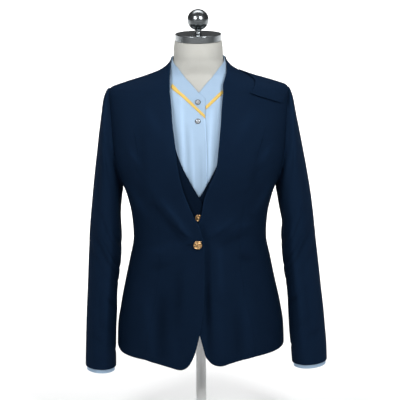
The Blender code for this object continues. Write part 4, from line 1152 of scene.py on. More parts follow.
def armhole_ring(side, inset):
    return armhole(np.arange(ROUND) * ARM_STEPS / ROUND, side, inset)


def armhole_rim(side, inset, rise):
    """Points of the armhole drawn in, at a height over the jacket's outer face."""
    rim = armhole_ring(side, inset)
    return rim + outward(rim) * (jacket_lift(rim) + rise)[:, None]


def sleeve_normals(grid):
    """Outward normals of a closed sleeve grid."""
    across = np.roll(grid, -1, axis=1) - np.roll(grid, 1, axis=1)
    along = np.gradient(grid, axis=0)
    normals = np.cross(across, along)
    normals /= np.maximum(np.linalg.norm(normals, axis=-1, keepdims=True), 1e-9)
    middle = grid.mean(axis=1, keepdims=True)
    flip = np.sign(np.sum(normals * (grid - middle), axis=-1, keepdims=True).sum(axis=1, keepdims=True))
    return normals * flip


def sleeve_grid(rings, side, rim):
    """Smooth rows of a sleeve's outer face from its rim, with its main creases."""
    turns = around(ROUND)
    rows = [rim]
    for number, ring in enumerate(rings):
        depth = crease_depth(np.degrees(turns), (number + 1) / len(rings), CREASES)
        row = oval(ring, turns, depth) * (side, 1, 1)
        blend = ring[-1]
        rows.append(row * blend + rim * (1 - blend))
    return smooth_rows(np.array(rows), FINE)


def jacket_sleeve(side, rings, cloth):
    """Sleeve with its seam allowance turned down into the armhole."""
    grid = with_edge_rows(sleeve_grid(rings, side, armhole_rim(side, SLEEVE_INSET, RIM_RISE)), 0)
    normals = sleeve_normals(grid)
    bottom, top, _, _ = edge_distances(grid)
    along = bottom / bottom[-1:]
    turns = np.degrees(around(ROUND))[None, :]
    fall = CREASE_GAIN * crease_depth(turns, along, FINE_CREASES)
    for seam in SLEEVE_SEAMS:
        groove = bell(turn_gap(turns, seam), SLEEVE_SEAM_HALF) * smooth_step(*SLEEVE_SEAM_START, along)
        fall = fall + SEAM_DIP * groove
    fall = fall * smooth_step(*CREASE_START, bottom)
    # Painted shade on the sleeve's underside in front, and painted shade and light that follow its creases
    under = bell(turn_gap(turns, SLEEVE_PAINTED_SHADE_TURN), SLEEVE_PAINTED_SHADE_HALF)
    under = under * smooth_step(*SLEEVE_PAINTED_SHADE_START, along)
    painted_hollow_shade = fall + MAIN_FOLD_PAINTED_SHADE * crease_depth(turns, along, CREASES) + SLEEVE_PAINTED_SHADE * under
    fall = fall + EDGE_ROUND * bell(top, EDGE_ROUND_WIDTH)
    outer = grid - normals * fall[..., None]
    inner = grid - normals * np.maximum(cloth.wall, fall + LEAST_SLEEVE_WALL * cloth.wall)[..., None]
    outer_tuck = [armhole_rim(side, *row) for row in SLEEVE_TUCK]
    inner_tuck = [armhole_rim(side, *row) for row in SLEEVE_TUCK_INSIDE]
    outer = np.concatenate((outer_tuck, outer[2:]))
    inner = np.concatenate((inner_tuck, inner[2:]))
    # Painted light makes each sleeve paler by its own relief, less where painted shade lies
    relief = SLEEVE_PAINTED_LIGHT[side] - np.concatenate((np.repeat(painted_hollow_shade[:1], 3, axis=0), painted_hollow_shade[2:]))
    node = named("jacket_sleeve_", side)
    thing = cloth_wall(node + "_cloth", outer + TO_FLOOR, inner + TO_FLOOR, cloth.material, closed=True,
                       swell="t", relief=relief)
    return seat(thing, cloth.slot, node)


def longer_ring(rings, share):
    """Ring past the last one by a share of the last step, or before it if negative."""
    return tuple(a + (a - b) * share for a, b in zip(rings[-1], rings[-2]))


def blouse_sleeve(side, rings, cloth):
    """Sleeve inside the jacket's, down to the cuff, and the cuff that shows below it."""
    step_down = rings[-2][1] - rings[-1][1]
    cuff_low = CUFF_SHOWS / step_down
    cuff_high = (CUFF_SHOWS - CUFF_LENGTH) / step_down
    grid = sleeve_grid(rings, side, armhole_rim(side, SLEEVE_INSET, RIM_RISE))
    grid = grid[: (len(rings) - 2) * FINE + 1]
    end = oval(longer_ring(rings, cuff_high - CUFF_GAP), around(ROUND), 0.0) * (side, 1, 1)
    share = np.linspace(0, 1, FINE + 1)[1:, None, None]
    grid = np.concatenate((grid, grid[-1] * (1 - share) + end * share))
    normals = sleeve_normals(grid)
    inset = BLOUSE_INSET + BLOUSE_SLEEVE_GAP
    first = armhole_ring(side, inset)
    walls = []
    for depth in (0.0, cloth.wall):
        wall = grid - normals * (BLOUSE_SLEEVE_CLEARANCE + depth)
        rim = first + outward(first) * (right_blouse_lift(first)[:, None] - depth)
        start = np.array([rim, armhole_rim(side, inset + depth, 0.0), wall[FINE]])
        walls.append(np.concatenate((smooth_rows(start, 3)[:-1], wall[FINE:])) + TO_FLOOR)
    cuff = []
    for draw_in in (CUFF_CLEARANCE, CUFF_CLEARANCE + CUFF_CLOTH):
        shares = np.linspace(cuff_high, cuff_low, 4 * FINE + 1)
        rows = [oval(longer_ring(rings, share), around(ROUND), draw_in) * (side, 1, 1) for share in shares]
        cuff.append(with_edge_rows(np.array(rows), 0) + TO_FLOOR)
    things = []
    for stem, (outer, inner) in (("blouse_sleeve_", walls), ("blouse_cuff_", cuff)):
        node = named(stem, side)
        thing = cloth_wall(node + "_cloth", outer, inner, cloth.material, closed=True, swell="bt")
        things.append(seat(thing, cloth.slot, node))
    return things


def side_line(side, low, high, steps):
    return line(lambda s: at_turn(side * 90, low + (high - low) * s), steps)


def vest_arc(side, back):
    pairs = [(side * (180 - t if back else t), h) for t, h in VEST_ARMHOLE]
    return line(turn_curve(pairs + [(side * 90, VEST_SHOULDER[1])]), 5, 2)


def vest_front(side, cloth):
    edge = line(front_curve([(-side * x, h) for x, h in VEST_EDGE]), 6)
    neck = [seen_from(side * -x, h, -1) for x, h in VEST_NECKLINE]
    left = joined(edge, line(curve(neck + [at_turn(side * 90, VEST_SHOULDER[0])]), 5, 2))
    right = joined(side_line(side, VEST_HEM, VEST_UNDERARM, 6), vest_arc(side, False))
    bottom = line(curve([left[0], at_turn(side * HEM_TURN, VEST_HEM), right[0]]), 6)
    grid = patch(bottom, shoulder_seam(side, *VEST_SHOULDER, 6), left, right)
    return sew(named("vest_front_", side), grid, left_vest_lift if side > 0 else vest_lift, cloth, "bl")


def half_back(heights, neck, shoulder, side_seam, arc, steps):
    """Grid of the left half of a back, from the centre line to side seam and armhole."""
    low, high = heights
    right = joined(side_seam, arc)
    left = line(lambda s: seen_from(np.zeros(len(s)), low + (high - low) * s, 1), steps, 2)
    top = joined(neck, shoulder)
    columns = (len(top) - 1) // FINE
    bottom = line(turn_curve([(180 - 90 * i / columns, low) for i in range(columns + 1)]), columns)
    return patch(bottom, top, left, right)


def both_halves(half):
    """Grid of a whole back from the grid of its half on the wearer's left."""
    return np.concatenate((half[:, :0:-1] * (-1, 1, 1), half), axis=1)


def back_neck_seam(side, middle, end):
    """Half of a line round the back of the neck, from the middle of the back to the side."""
    pairs = [(side * 180, middle), (side * BACK_NECK_TURN, middle - 1), (side * 90, end)]
    return line(turn_curve(pairs), 4)


def vest_back(cloth):
    neck = back_neck_seam(1, VEST_NECK_BACK, VEST_SHOULDER[0])
    shoulder = shoulder_seam(1, *VEST_SHOULDER, 3)
    seam = side_line(1, VEST_HEM, VEST_UNDERARM, 6)
    half = half_back((VEST_HEM, VEST_NECK_BACK), neck, shoulder, seam, vest_arc(1, True), 11)
    return sew("vest_back", both_halves(half), vest_lift, cloth, "bt")


def neck_seam(side, pairs):
    """Neck seam of one blouse front, from the opening to the shoulder."""
    points = [seen_from(x, h, -1) for x, h in pairs] + [at_turn(side * 90, BLOUSE_NECK_SIDE)]
    return line(curve(points), 6)


def blouse_sides(side):
    """Shoulder seam and side seam of the blouse."""
    shoulder = shoulder_seam(side, BLOUSE_NECK_SIDE, armhole(0, side, BLOUSE_INSET)[2], 3)
    underarm = armhole(ARM_STEPS // 2, side, BLOUSE_INSET)[2]
    return shoulder, side_line(side, BLOUSE_HEM, underarm, 6)


def blouse_front(side, edge_x, seam, lift, cloth):
    shoulder, side_seam = blouse_sides(side)
    top = joined(neck_seam(side, seam), shoulder)
    arc = armhole_curve(ARM_STEPS // 2, 0, side, BLOUSE_INSET)
    right = joined(side_seam, line(arc, 8, 2))
    left = line(front_curve([(edge_x, BLOUSE_HEM), (edge_x, 50), seam[0]]), 14, 2)
    bottom = line(curve([left[0], at_turn(side * HEM_TURN, BLOUSE_HEM), right[0]]), 9)
    grid = patch(bottom, top, left, right)
    return sew(named("blouse_front_", side), grid, with_blouse_folds(lift), cloth, "bl")


def blouse_back(cloth):
    shoulder, side_seam = blouse_sides(1)
    neck = back_neck_seam(1, BLOUSE_NECK_BACK, BLOUSE_NECK_SIDE)
    arc = line(armhole_curve(ARM_STEPS // 2, ARM_STEPS, 1, BLOUSE_INSET), 8, 2)
    half = half_back((BLOUSE_HEM, BLOUSE_NECK_BACK), neck, shoulder, side_seam, arc, 14)
    return sew("blouse_back", both_halves(half), right_blouse_lift, cloth, "b")


def collar_half(side, seam, upper):
    """Lower and upper edge of one half of the collar, from its front end to the back."""
    low = joined(neck_seam(side, seam), back_neck_seam(side, BLOUSE_NECK_BACK, BLOUSE_NECK_SIDE)[::-1])
    high = [seen_from(x, h, -1) for x, h in upper] + [at_turn(side * 90, COLLAR_SIDE)]
    back = back_neck_seam(side, COLLAR_BACK, COLLAR_SIDE)
    return low, joined(line(curve(high), 6), back[::-1])


def blouse_collar(cloth):
    """One band round the neck; its wearer's right end laps over its left end in front."""
    right = collar_half(-1, RIGHT_NECK_SEAM, RIGHT_COLLAR_TOP)
    left = collar_half(1, LEFT_NECK_SEAM, LEFT_COLLAR_TOP)
    lows = joined(right[0], left[0][::-1])
    highs = joined(right[1], left[1][::-1])
    share = np.linspace(0, 1, 2 * FINE + 1)[:, None, None]
    grid = edged(drawn_in(on_body(lows * (1 - share) + highs * share)))
    middle = grid.shape[1] // 2
    lifts = right_blouse_lift(grid)
    lifts[:, middle + 1:] = left_blouse_lift(grid)[:, middle + 1:]
    rise = lifts + COLLAR_RISE - COLLAR_SEAM_DIP * bell(edge_distances(grid)[0], COLLAR_SEAM_WIDTH)
    inner = lifted(grid, lifts - cloth.wall - COLLAR_INSIDE)
    # Painted shade: the collar's cloth is made evenly darker
    relief = np.full(rise.shape, COLLAR_PAINTED_SHADE)
    thing = cloth_wall("blouse_collar_cloth", lifted(grid, rise), inner, cloth.material, swell="tlr",
                       relief=relief)
    return seat(thing, cloth.slot, "blouse_collar"), grid, rise


def strip(pairs, steps, across):
    """Grid along a line on the front, with a row for each offset across it."""
    middle = curve([seen_from(x, h, -1) for x, h in pairs])(np.linspace(0, 1, steps + 1))
    return on_body(middle[None] + across[:, None])


def round_crown(offsets, half):
    return np.sqrt(np.maximum(1 - (offsets / half) ** 2, 0))[:, None]


def piping(side, seam, lift, material):
    """Rounded satin strip over the collar seam, from the opening to under the jacket."""
    offsets = np.linspace(-PIPING_HALF, PIPING_HALF, 9)
    grid = strip(seam, 10 * FINE, offsets[:, None] * (0, 0, 1))
    crown = PIPING_CROWN * round_crown(offsets, PIPING_HALF)
    rise = lift(grid) + PIPING_GAP + PIPING_EDGE + crown
    node = named("piping_", side)
    thing = cloth_wall(node + "_cloth", lifted(grid, rise), lifted(grid, lift(grid) + PIPING_GAP), material)
    return seat(thing, "yellow_piping", node)


def pressed_tuck(side, cloth):
    """Narrow tuck of the front's own cloth, pressed down toward the armhole."""
    pairs, height, shade = TUCKS[side]
    steps = 8 * FINE
    offsets = np.linspace(-TUCK_HALF, TUCK_HALF, 7)
    grid = strip(pairs, steps, offsets[:, None] * (1, 0, 0))
    lift = left_front_lift if side > 0 else right_front_lift
    ends = np.sin(math.pi * np.linspace(0.04, 0.96, steps + 1))[None, :]
    rise = lift(grid) + height * round_crown(offsets, TUCK_HALF) * ends - TUCK_SINK
    # Painted shade on the side of the tuck toward the armhole
    relief = -shade * ends * smooth_step(-TUCK_HALF, TUCK_HALF, side * offsets)[:, None]
    inner = lifted(grid, lift(grid) - TUCK_WALL)
    name = named("pressed_tuck_", side)
    seat(cloth_wall(name, lifted(grid, rise), inner, cloth.material, relief=relief), cloth.slot)


def turned(name, profile, steps, material, place=Matrix.Identity(4)):
    """Turned piece: radius and height pairs from the top, down the outer side."""
    verts = []
    faces = []
    rings = []
    for radius, height in profile:
        if radius < 1e-6:
            rings.append([len(verts)] * steps)
            verts.append((0, 0, height))
        else:
            rings.append(list(range(len(verts), len(verts) + steps)))
            for k in range(steps):
                angle = 2 * math.pi * k / steps
                verts.append((radius * math.cos(angle), radius * math.sin(angle), height))
    for upper, lower in zip(rings, rings[1:]):
        for k in range(steps):
            n = (k + 1) % steps
            corners = [upper[k], lower[k], lower[n], upper[n]]
            face = [c for i, c in enumerate(corners) if c != corners[i - 1]]
            if len(face) > 2:
                faces.append(face)
    thing = new_mesh(name, verts, faces, material)
    thing.data.transform(place)
    thing.data.set_sharp_from_angle(angle=SHARP)
    return thing


def button_place(node):
    """Matrix that stands a button on its cloth, where its solid stands."""
    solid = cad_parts[node]
    places = np.array([v.co for v in solid.data.vertices]) / MM
    centre = places.mean(axis=0)
    point = on_body(centre - (0, 0, WAIST))
    normal = outward(point)
    heights = places @ normal
    flat_centre = (places.min(axis=0) + places.max(axis=0)) / 2
    base = flat_centre + normal * (heights.min() - flat_centre @ normal)
    turn = Vector(normal).to_track_quat("Z", "Y").to_matrix().to_4x4()
    return Matrix.Translation(Vector(base) * MM) @ turn


def gold_button(node, radius, material):
    """Domed metal button: a raised rim, a ring of beads and a plain rosette."""
    name = node + "_gold"
    place = button_place(node)
    thing = turned(name, [(r * radius, z * radius) for r, z in GOLD_PROFILE], 64, material, place)
    seat(thing, "gold_metal", node)
    beads = []
    for count, reach, size, height in GOLD_BEADS:
        for turn in around(count):
            beads.append((reach * math.cos(turn), reach * math.sin(turn), height, size))
    dots = small_domes(name + "_relief", np.array(beads) * radius, material)
    dots.data.transform(place)
    seat(dots, "gold_metal")


def small_domes(name, rows, material):
    """Small half-sunk balls at x, y, height and radius."""
    verts = []
    faces = []
    rings, steps = 4, 10
    for x, y, height, radius in rows:
        first = len(verts)
        verts.append((x, y, height + radius * BEAD_FLATNESS))
        for i in range(1, rings + 1):
            angle = math.pi / 2 * i / rings
            for k in range(steps):
                turn = 2 * math.pi * k / steps
                reach = radius * math.sin(angle)
                lift = radius * BEAD_FLATNESS * math.cos(angle)
                verts.append((x + reach * math.cos(turn), y + reach * math.sin(turn), height + lift))
        for k in range(steps):
            n = (k + 1) % steps
            faces.append((first, first + 1 + k, first + 1 + n))
            for i in range(rings - 1):
                a = first + 1 + i * steps
                faces.append((a + k, a + steps + k, a + steps + n, a + n))
        low = first + 1 + (rings - 1) * steps
        faces.append([low + k for k in range(steps)][::-1])
    return new_mesh(name, verts, faces, material)


def crystal_button(node, glass, silver):
    """Faceted glass dome in a thin metal setting."""
    name = node + "_stone"
    place = button_place(node)
    setting = [(share * CRYSTAL_RADIUS, height) for share, height in CRYSTAL_SETTING]
    seat(turned(name + "_setting", setting, 48, silver, place), "chrome")
    steps = CRYSTAL_FACETS
    verts = [(0, 0, CRYSTAL_TOP)]
    for reach, height, swing in CRYSTAL_RINGS:
        for k in range(steps):
            angle = 2 * math.pi * (k + swing) / steps
            verts.append((reach * math.cos(angle), reach * math.sin(angle), height))
    a, b, c, d = (1 + ring * steps for ring in range(4))
    faces = []
    for k in range(steps):
        n = (k + 1) % steps
        faces += [
            (0, a + k, a + n), (a + k, b + k, a + n), (a + n, b + k, b + n), (b + k, c + k, c + n),
            (b + k, c + n, b + n), (c + k, d + k, d + n, c + n),
        ]
    faces.append([d + k for k in range(steps)][::-1])
    stone = new_mesh(name, verts, faces, glass, smooth=False)
    stone.data.transform(place)
    seat(stone, "crystal_glass", node)


def thread_bars(name, starts, ends, normals, width, cloth):
    """Sewing thread seen on the cloth: one small rounded bar between each start and end."""
    verts = []
    faces = []
    for start, end, normal in zip(starts, ends, normals):
        along = (end - start) / max(np.linalg.norm(end - start), 1e-9)
        side = np.cross(normal, along)
        first = len(verts)
        for share, size, rise in THREAD_RINGS:
            middle = start + (end - start) * share + normal * rise * width
            verts += [
                middle + side * width * size / 2, middle + normal * width * size / 2,
                middle - side * width * size / 2, middle - normal * width * size / 2,
            ]
        faces += (wall_faces(len(THREAD_RINGS), 4, True) + first).tolist()
        faces.append((first + 3, first + 2, first + 1, first))
        faces.append((first + 12, first + 13, first + 14, first + 15))
    seat(new_mesh(name, verts, faces, cloth.material), cloth.slot)


def stitches(name, line_and_normals, cloth, pitch=2.6, length=1.9, width=0.35):
    """A row of stitches along a line on the cloth, in its own thread."""
    points, normals = line_and_normals
    steps = np.linalg.norm(np.diff(points, axis=0), axis=1)
    lengths = np.concatenate(([0], np.cumsum(steps)))
    middles = (np.arange(int(lengths[-1] / pitch)) + 0.5) * pitch

    def at(places, values):
        return np.stack([np.interp(places, lengths, values[:, k]) for k in range(3)], -1)

    up = at(middles, normals)
    up /= np.linalg.norm(up, axis=1, keepdims=True)
    thread_bars(name, at(middles - length / 2, points), at(middles + length / 2, points), up, width, cloth)


def edge_stitches(stem, fronts, cloth):
    for side, front in zip((-1, 1), fronts):
        stitches(named(stem, side), along_edge(front, "l", STITCH_INSET), cloth, *EDGE_STITCH)


def buttonhole(name, place, length, direction, cloth):
    """Worked hole of close thread bars on the right front, with a bar across its far end."""
    bars = []
    for side in (-1, 1):
        for k in range(int(length / BUTTONHOLE_PITCH) + 1):
            x = place[0] + direction * k * BUTTONHOLE_PITCH
            bars.append((x, side * BUTTONHOLE_INSIDE, side * BUTTONHOLE_HALF))
    bars.append((place[0] + direction * (length + BUTTONHOLE_PAST), -BUTTONHOLE_HALF, BUTTONHOLE_HALF))
    middles, low_ends, high_ends = np.array(bars).T
    starts, ends = (seen_from(middles, place[1] + heights, -1) for heights in (low_ends, high_ends))
    normals = outward(seen_from(middles, place[1], -1))
    starts, ends = (lifted(points, right_front_lift(points)) for points in (starts, ends))
    thread_bars(name, starts, ends, normals, BUTTONHOLE_THREAD, cloth)


def along_edge(piece, letter, distance, start=0.0, end=1.0):
    """Line on a sewn piece at a distance inside one edge, with the cloth's normals."""
    _, grid, rise = piece
    distances = edge_distances(grid)["btlr".index(letter)]
    if letter in "bt":
        distances, grid, rise = distances.T, np.swapaxes(grid, 0, 1), rise.T
    points = []
    lifts = []
    for gaps, row, lift in zip(distances, grid, rise):
        order = np.argsort(gaps)
        points.append([np.interp(distance, gaps[order], row[order, k]) for k in range(3)])
        lifts.append(np.interp(distance, gaps[order], lift[order]))
    kept = slice(int(start * (len(points) - 1)), int(end * (len(points) - 1)) + 1)
    points = on_body(np.array(points)[kept])
    return lifted(points, np.array(lifts)[kept]), outward(points)


def form_cover(material):
    """Torso of the form with its neck, under the cloth."""
    turns = np.arange(0, 360, 2.5)
    count = len(turns)

    def ring_at(height):
        return at_turn(turns, np.full(count, height))

    rows = [ring_at(FORM_BOTTOM) * (*FORM_UNDER, 1) + TO_FLOOR]
    edge = ARM_PLATE - ARM_PLATE_EDGE
    for height in FORM_RINGS:
        ring = lifted(ring_at(height), form_lift(ring_at(height)))
        over = np.abs(ring[:, 0]) - edge
        held = edge + ARM_PLATE_EDGE * np.tanh(np.maximum(over, 0) / ARM_PLATE_EDGE)
        ring[:, 0] = np.where(over > 0, np.sign(ring[:, 0]) * held, ring[:, 0])
        rows.append(ring)
    neck = Table(NECK)
    angle = np.radians(turns)
    for height in np.linspace(NECK_START, NECK[-1][0], NECK_RINGS):
        half, front, back = neck.read(np.full(count, height))
        depth = np.where(np.cos(angle) > 0, front, back)
        heights = np.full(count, height + WAIST)
        rows.append(np.stack((half * np.sin(angle), -depth * np.cos(angle), heights), -1))
    grid = np.array(rows)
    quads = wall_faces(len(grid), count, True).tolist()
    last = (len(grid) - 1) * count
    quads += [list(range(count))[::-1], list(range(last, last + count))]
    thing = new_mesh("form_cover", grid.reshape(-1, 3), quads, material)
    thing.data.set_sharp_from_angle(angle=SHARP)
    keep(thing, "flat", "FLOAT_VECTOR", "vector", flat_places(grid, True))
    return seat(thing, "cream_jersey", "form_torso")


def cap_and_finial(material):
    low = NECK_TOP + WAIST
    top = low + CAP_THICKNESS
    last = math.degrees(math.asin(BALL_STEM / BALL_RADIUS))
    steps = 36
    profile = []
    for k in range(steps + 1):
        angle = math.radians((180 - last) * k / steps)
        profile.append((BALL_RADIUS * math.sin(angle), BALL_MIDDLE + BALL_RADIUS * math.cos(angle)))
    profile += [
        (BALL_STEM, top + 2.6), (BALL_STEM + 0.8, top + 0.9), (BALL_STEM + 2.2, top), (BALL_STEM + 3, top),
        (CAP_RADIUS - 1.6, top), (CAP_RADIUS - 1.0, top), (CAP_RADIUS - 0.3, top - 0.3),
        (CAP_RADIUS, top - 1.0), (CAP_RADIUS, top - 1.6), (CAP_RADIUS, low + 1.6), (CAP_RADIUS, low + 1.0),
        (CAP_RADIUS - 0.3, low + 0.3), (CAP_RADIUS - 1.0, low), (CAP_RADIUS - 1.6, low), (0, low),
    ]
    return seat(turned("neck_cap_turned", profile, 96, material), "chrome", "neck_cap")


def pole_and_base(material):
    top = WAIST + FORM_BOTTOM - 0.3
    foot = BASE_THICKNESS + 0.3
    pole = (
        (0, top), (FLANGE_RADIUS - 0.5, top), (FLANGE_RADIUS, top - 0.5), (FLANGE_RADIUS, top - 3.4),
        (FLANGE_RADIUS - 1, top - 4), (16, top - 6), (12.5, top - 9), (POLE_RADIUS, top - 14),
        (POLE_RADIUS, foot + 18), (13, foot + 14), (17, foot + 10), (20.5, foot + 5),
        (SOCKET_RADIUS - 0.3, foot + 1), (SOCKET_RADIUS, foot), (0, foot),
    )
    seat(turned("pole_turned", pole, 64, material), "white_enamel", "stand_pole")
    base = (
        (0, BASE_THICKNESS), (BASE_RADIUS - 16, BASE_THICKNESS), (BASE_RADIUS - 8, BASE_THICKNESS - 0.7),
        (BASE_RADIUS - 4, BASE_THICKNESS - 2), (BASE_RADIUS - 1, BASE_THICKNESS - 3.8),
        (BASE_RADIUS, BASE_THICKNESS - 5.5), (BASE_RADIUS, 1), (BASE_RADIUS - 0.4, 0.3),
        (BASE_RADIUS - 1, 0), (0, 0),
    )
    seat(turned("base_turned", base, 128, material), "white_enamel", "stand_base")


def link(tree, source, target):
    tree.links.new(source, target)


def shader_node(tree, kind, **values):
    made = tree.nodes.new(kind)
    for name, value in values.items():
        setattr(made, name, value)
    return made


def plain_finish(name, colour, roughness, metallic=0.0, specular=0.5):
    material = bpy.data.materials.new(name)
    material.use_nodes = True
    shader = material.node_tree.nodes["Principled BSDF"]
    shader.inputs["Base Color"].default_value = (*colour, 1)
    shader.inputs["Roughness"].default_value = roughness
    shader.inputs["Metallic"].default_value = metallic
    shader.inputs["Specular IOR Level"].default_value = specular
    return material, material.node_tree, shader


def math_node(tree, operation, first, second=None):
    made = shader_node(tree, "ShaderNodeMath", operation=operation)
    for socket, value in zip(made.inputs, (first, second)):
        if value is None:
            continue
        if isinstance(value, (int, float)):
            socket.default_value = value
        else:
            link(tree, value, socket)
    return made.outputs[0]


def noise(tree, vector, scale, detail=2.0):
    made = shader_node(tree, "ShaderNodeTexNoise")
    made.inputs["Scale"].default_value = scale
    made.inputs["Detail"].default_value = detail
    link(tree, vector, made.inputs["Vector"])
    return made.outputs["Fac"]


def mix_colours(tree, share, first, second):
    made = shader_node(tree, "ShaderNodeMix", data_type="RGBA")
    if isinstance(share, (int, float)):
        made.inputs[0].default_value = share
    else:
        link(tree, share, made.inputs[0])
    for socket, colour in ((made.inputs[6], first), (made.inputs[7], second)):
        if isinstance(colour, tuple):
            socket.default_value = (*colour, 1)
        else:
            link(tree, colour, socket)
    return made.outputs[2]


def times(tree, first, second):
    return math_node(tree, "MULTIPLY", first, second)


def plus(tree, first, second):
    return math_node(tree, "ADD", first, second)


def object_place(tree):
    return shader_node(tree, "ShaderNodeTexCoord").outputs["Object"]


def add_bump(tree, shader, height, strength, distance=0.0002):
    bump = shader_node(tree, "ShaderNodeBump")
    bump.inputs["Strength"].default_value = strength
    bump.inputs["Distance"].default_value = distance
    link(tree, height, bump.inputs["Height"])
    link(tree, bump.outputs["Normal"], shader.inputs["Normal"])


# Scales of the fine and the broad mottle on the flat cloth, in spots per metre
FINE_MOTTLE = 1400.0
BROAD_MOTTLE = 26.0
# The weft's pitch as a share of the warp's, and the share of each in the relief of the threads
WEFT_PITCH = 0.8
WARP_SHARE = 0.35
WEFT_SHARE = 0.15
# Shares of threads, fine and broad mottle in the cloth's tone, and of the fine one in its relief
THREAD_TONE = 0.35
FINE_TONE = 0.5
BROAD_TONE = 0.5
FINE_BUMP = 0.8
# How far the painted shade of folds may darken the cloth, and their painted light may lighten it
DEEPEST_PAINTED_SHADE = 0.5
PALEST_PAINTED_LIGHT = 1.3


def cloth_finish_and_painted_shade(name, dark, light, rib, slope, roughness, specular, bump, painted_hollow_shade=0.0):
    """Woven cloth: ribs of a pitch in metres and a slope on the flat cloth, with a mottle.

    Painted shade makes the cloth darker in the hollows of folds and painted light makes it paler on
    their ridges, by the given share for each millimetre of the kept relief.
    """
    material, tree, shader = plain_finish(name, light, roughness, 0.0, specular)
    flat = shader_node(tree, "ShaderNodeAttribute", attribute_name="flat").outputs["Vector"]
    parts = shader_node(tree, "ShaderNodeSeparateXYZ")
    link(tree, flat, parts.inputs[0])
    across, along = parts.outputs[0], parts.outputs[1]
    place = plus(tree, across, times(tree, along, slope))
    warp = math_node(tree, "SINE", times(tree, place, 2 * math.pi / rib))
    weft = math_node(tree, "SINE", times(tree, along, 2 * math.pi / (rib * WEFT_PITCH)))
    thread = plus(tree, times(tree, warp, WARP_SHARE), times(tree, weft, WEFT_SHARE))
    fine = noise(tree, flat, FINE_MOTTLE)
    mottle = noise(tree, flat, BROAD_MOTTLE, 3.0)
    tone = plus(tree, times(tree, thread, THREAD_TONE), times(tree, fine, FINE_TONE))
    tone = plus(tree, tone, times(tree, mottle, BROAD_TONE))
    # Painted shade and light: the relief kept at the points darkens the cloth in hollows, lightens it on
    # ridges
    fold = shader_node(tree, "ShaderNodeAttribute", attribute_name="relief").outputs["Fac"]
    shade = plus(tree, times(tree, fold, painted_hollow_shade), 1.0)
    shade = math_node(tree, "MINIMUM", math_node(tree, "MAXIMUM", shade, DEEPEST_PAINTED_SHADE), PALEST_PAINTED_LIGHT)
    shaded = shader_node(tree, "ShaderNodeVectorMath", operation="SCALE")
    link(tree, mix_colours(tree, tone, dark, light), shaded.inputs[0])
    link(tree, shade, shaded.inputs["Scale"])
    link(tree, shaded.outputs[0], shader.inputs["Base Color"])
    add_bump(tree, shader, plus(tree, thread, times(tree, fine, FINE_BUMP)), bump, 0.0003)
    return material


def metal_finish(name, colour, deep, roughness):
    """Metal with faint scratches and a darker film in random patches."""
    material, tree, shader = plain_finish(name, colour, roughness, 1.0)
    cloud = noise(tree, object_place(tree), 350.0, 3.0)
    grain = noise(tree, object_place(tree), 2600.0, 2.0)
    link(tree, mix_colours(tree, cloud, deep, colour), shader.inputs["Base Color"])
    link(tree, plus(tree, times(tree, grain, 0.12), roughness - 0.05), shader.inputs["Roughness"])
    add_bump(tree, shader, cloud, 0.06)
    return material


def enamel_finish():
    material, tree, shader = plain_finish("white_enamel_coat", (0.9, 0.9, 0.89), 0.32)
    cloud = noise(tree, object_place(tree), 18.0, 4.0)
    link(tree, mix_colours(tree, cloud, (0.88, 0.88, 0.87), (0.93, 0.93, 0.92)), shader.inputs["Base Color"])
    link(tree, plus(tree, times(tree, cloud, 0.16), 0.24), shader.inputs["Roughness"])
    add_bump(tree, shader, noise(tree, object_place(tree), 900.0, 2.0), 0.05)
    return material


def glass_finish():
    material, _, shader = plain_finish("crystal_stone", (0.86, 0.90, 0.95), roughness=0.01)
    shader.inputs["IOR"].default_value = 1.9
    shader.inputs["Transmission Weight"].default_value = 0.7
    return material


def build_jacket(cloth, gold):
    """All of the jacket; its sheets of cloth are returned."""
    fronts = []
    sheets = []
    for side, edge, neckline, hem, rings in (
        (-1, RIGHT_EDGE, RIGHT_NECKLINE, RIGHT_HEM, sleeve_rings(RIGHT_SLEEVE)),
        (1, LEFT_EDGE, LEFT_NECKLINE, LEFT_HEM, sleeve_rings(LEFT_SLEEVE)),
    ):
        front = jacket_front(side, edge, neckline, hem, cloth)
        fronts.append(front)
        sheets += [front[0], jacket_side(side, hem, cloth)[0], jacket_back(side, cloth)[0]]
        sheets.append(jacket_sleeve(side, rings, cloth))
        pressed_tuck(side, cloth)
    flap = shoulder_flap(cloth)
    edge_stitches("front_edge_stitches_", fronts, cloth)
    stitches("flap_stitches", along_edge(flap, "b", FLAP_STITCH, 0.03, 0.97), cloth)
    gold_button("jacket_button", JACKET_BUTTON_RADIUS, gold)
    start = (JACKET_BUTTON[0] - BUTTONHOLE_START, JACKET_BUTTON[1])
    buttonhole("jacket_buttonhole", start, BUTTONHOLE_LENGTH, -1, cloth)
    return sheets + [flap[0]]


def build_vest(cloth, thread, gold):
    pieces = [vest_front(-1, cloth), vest_front(1, cloth), vest_back(cloth)]
    edge_stitches("vest_edge_stitches_", pieces[:2], thread)
    gold_button("vest_button", VEST_BUTTON_RADIUS, gold)
    return [thing for thing, _, _ in pieces]


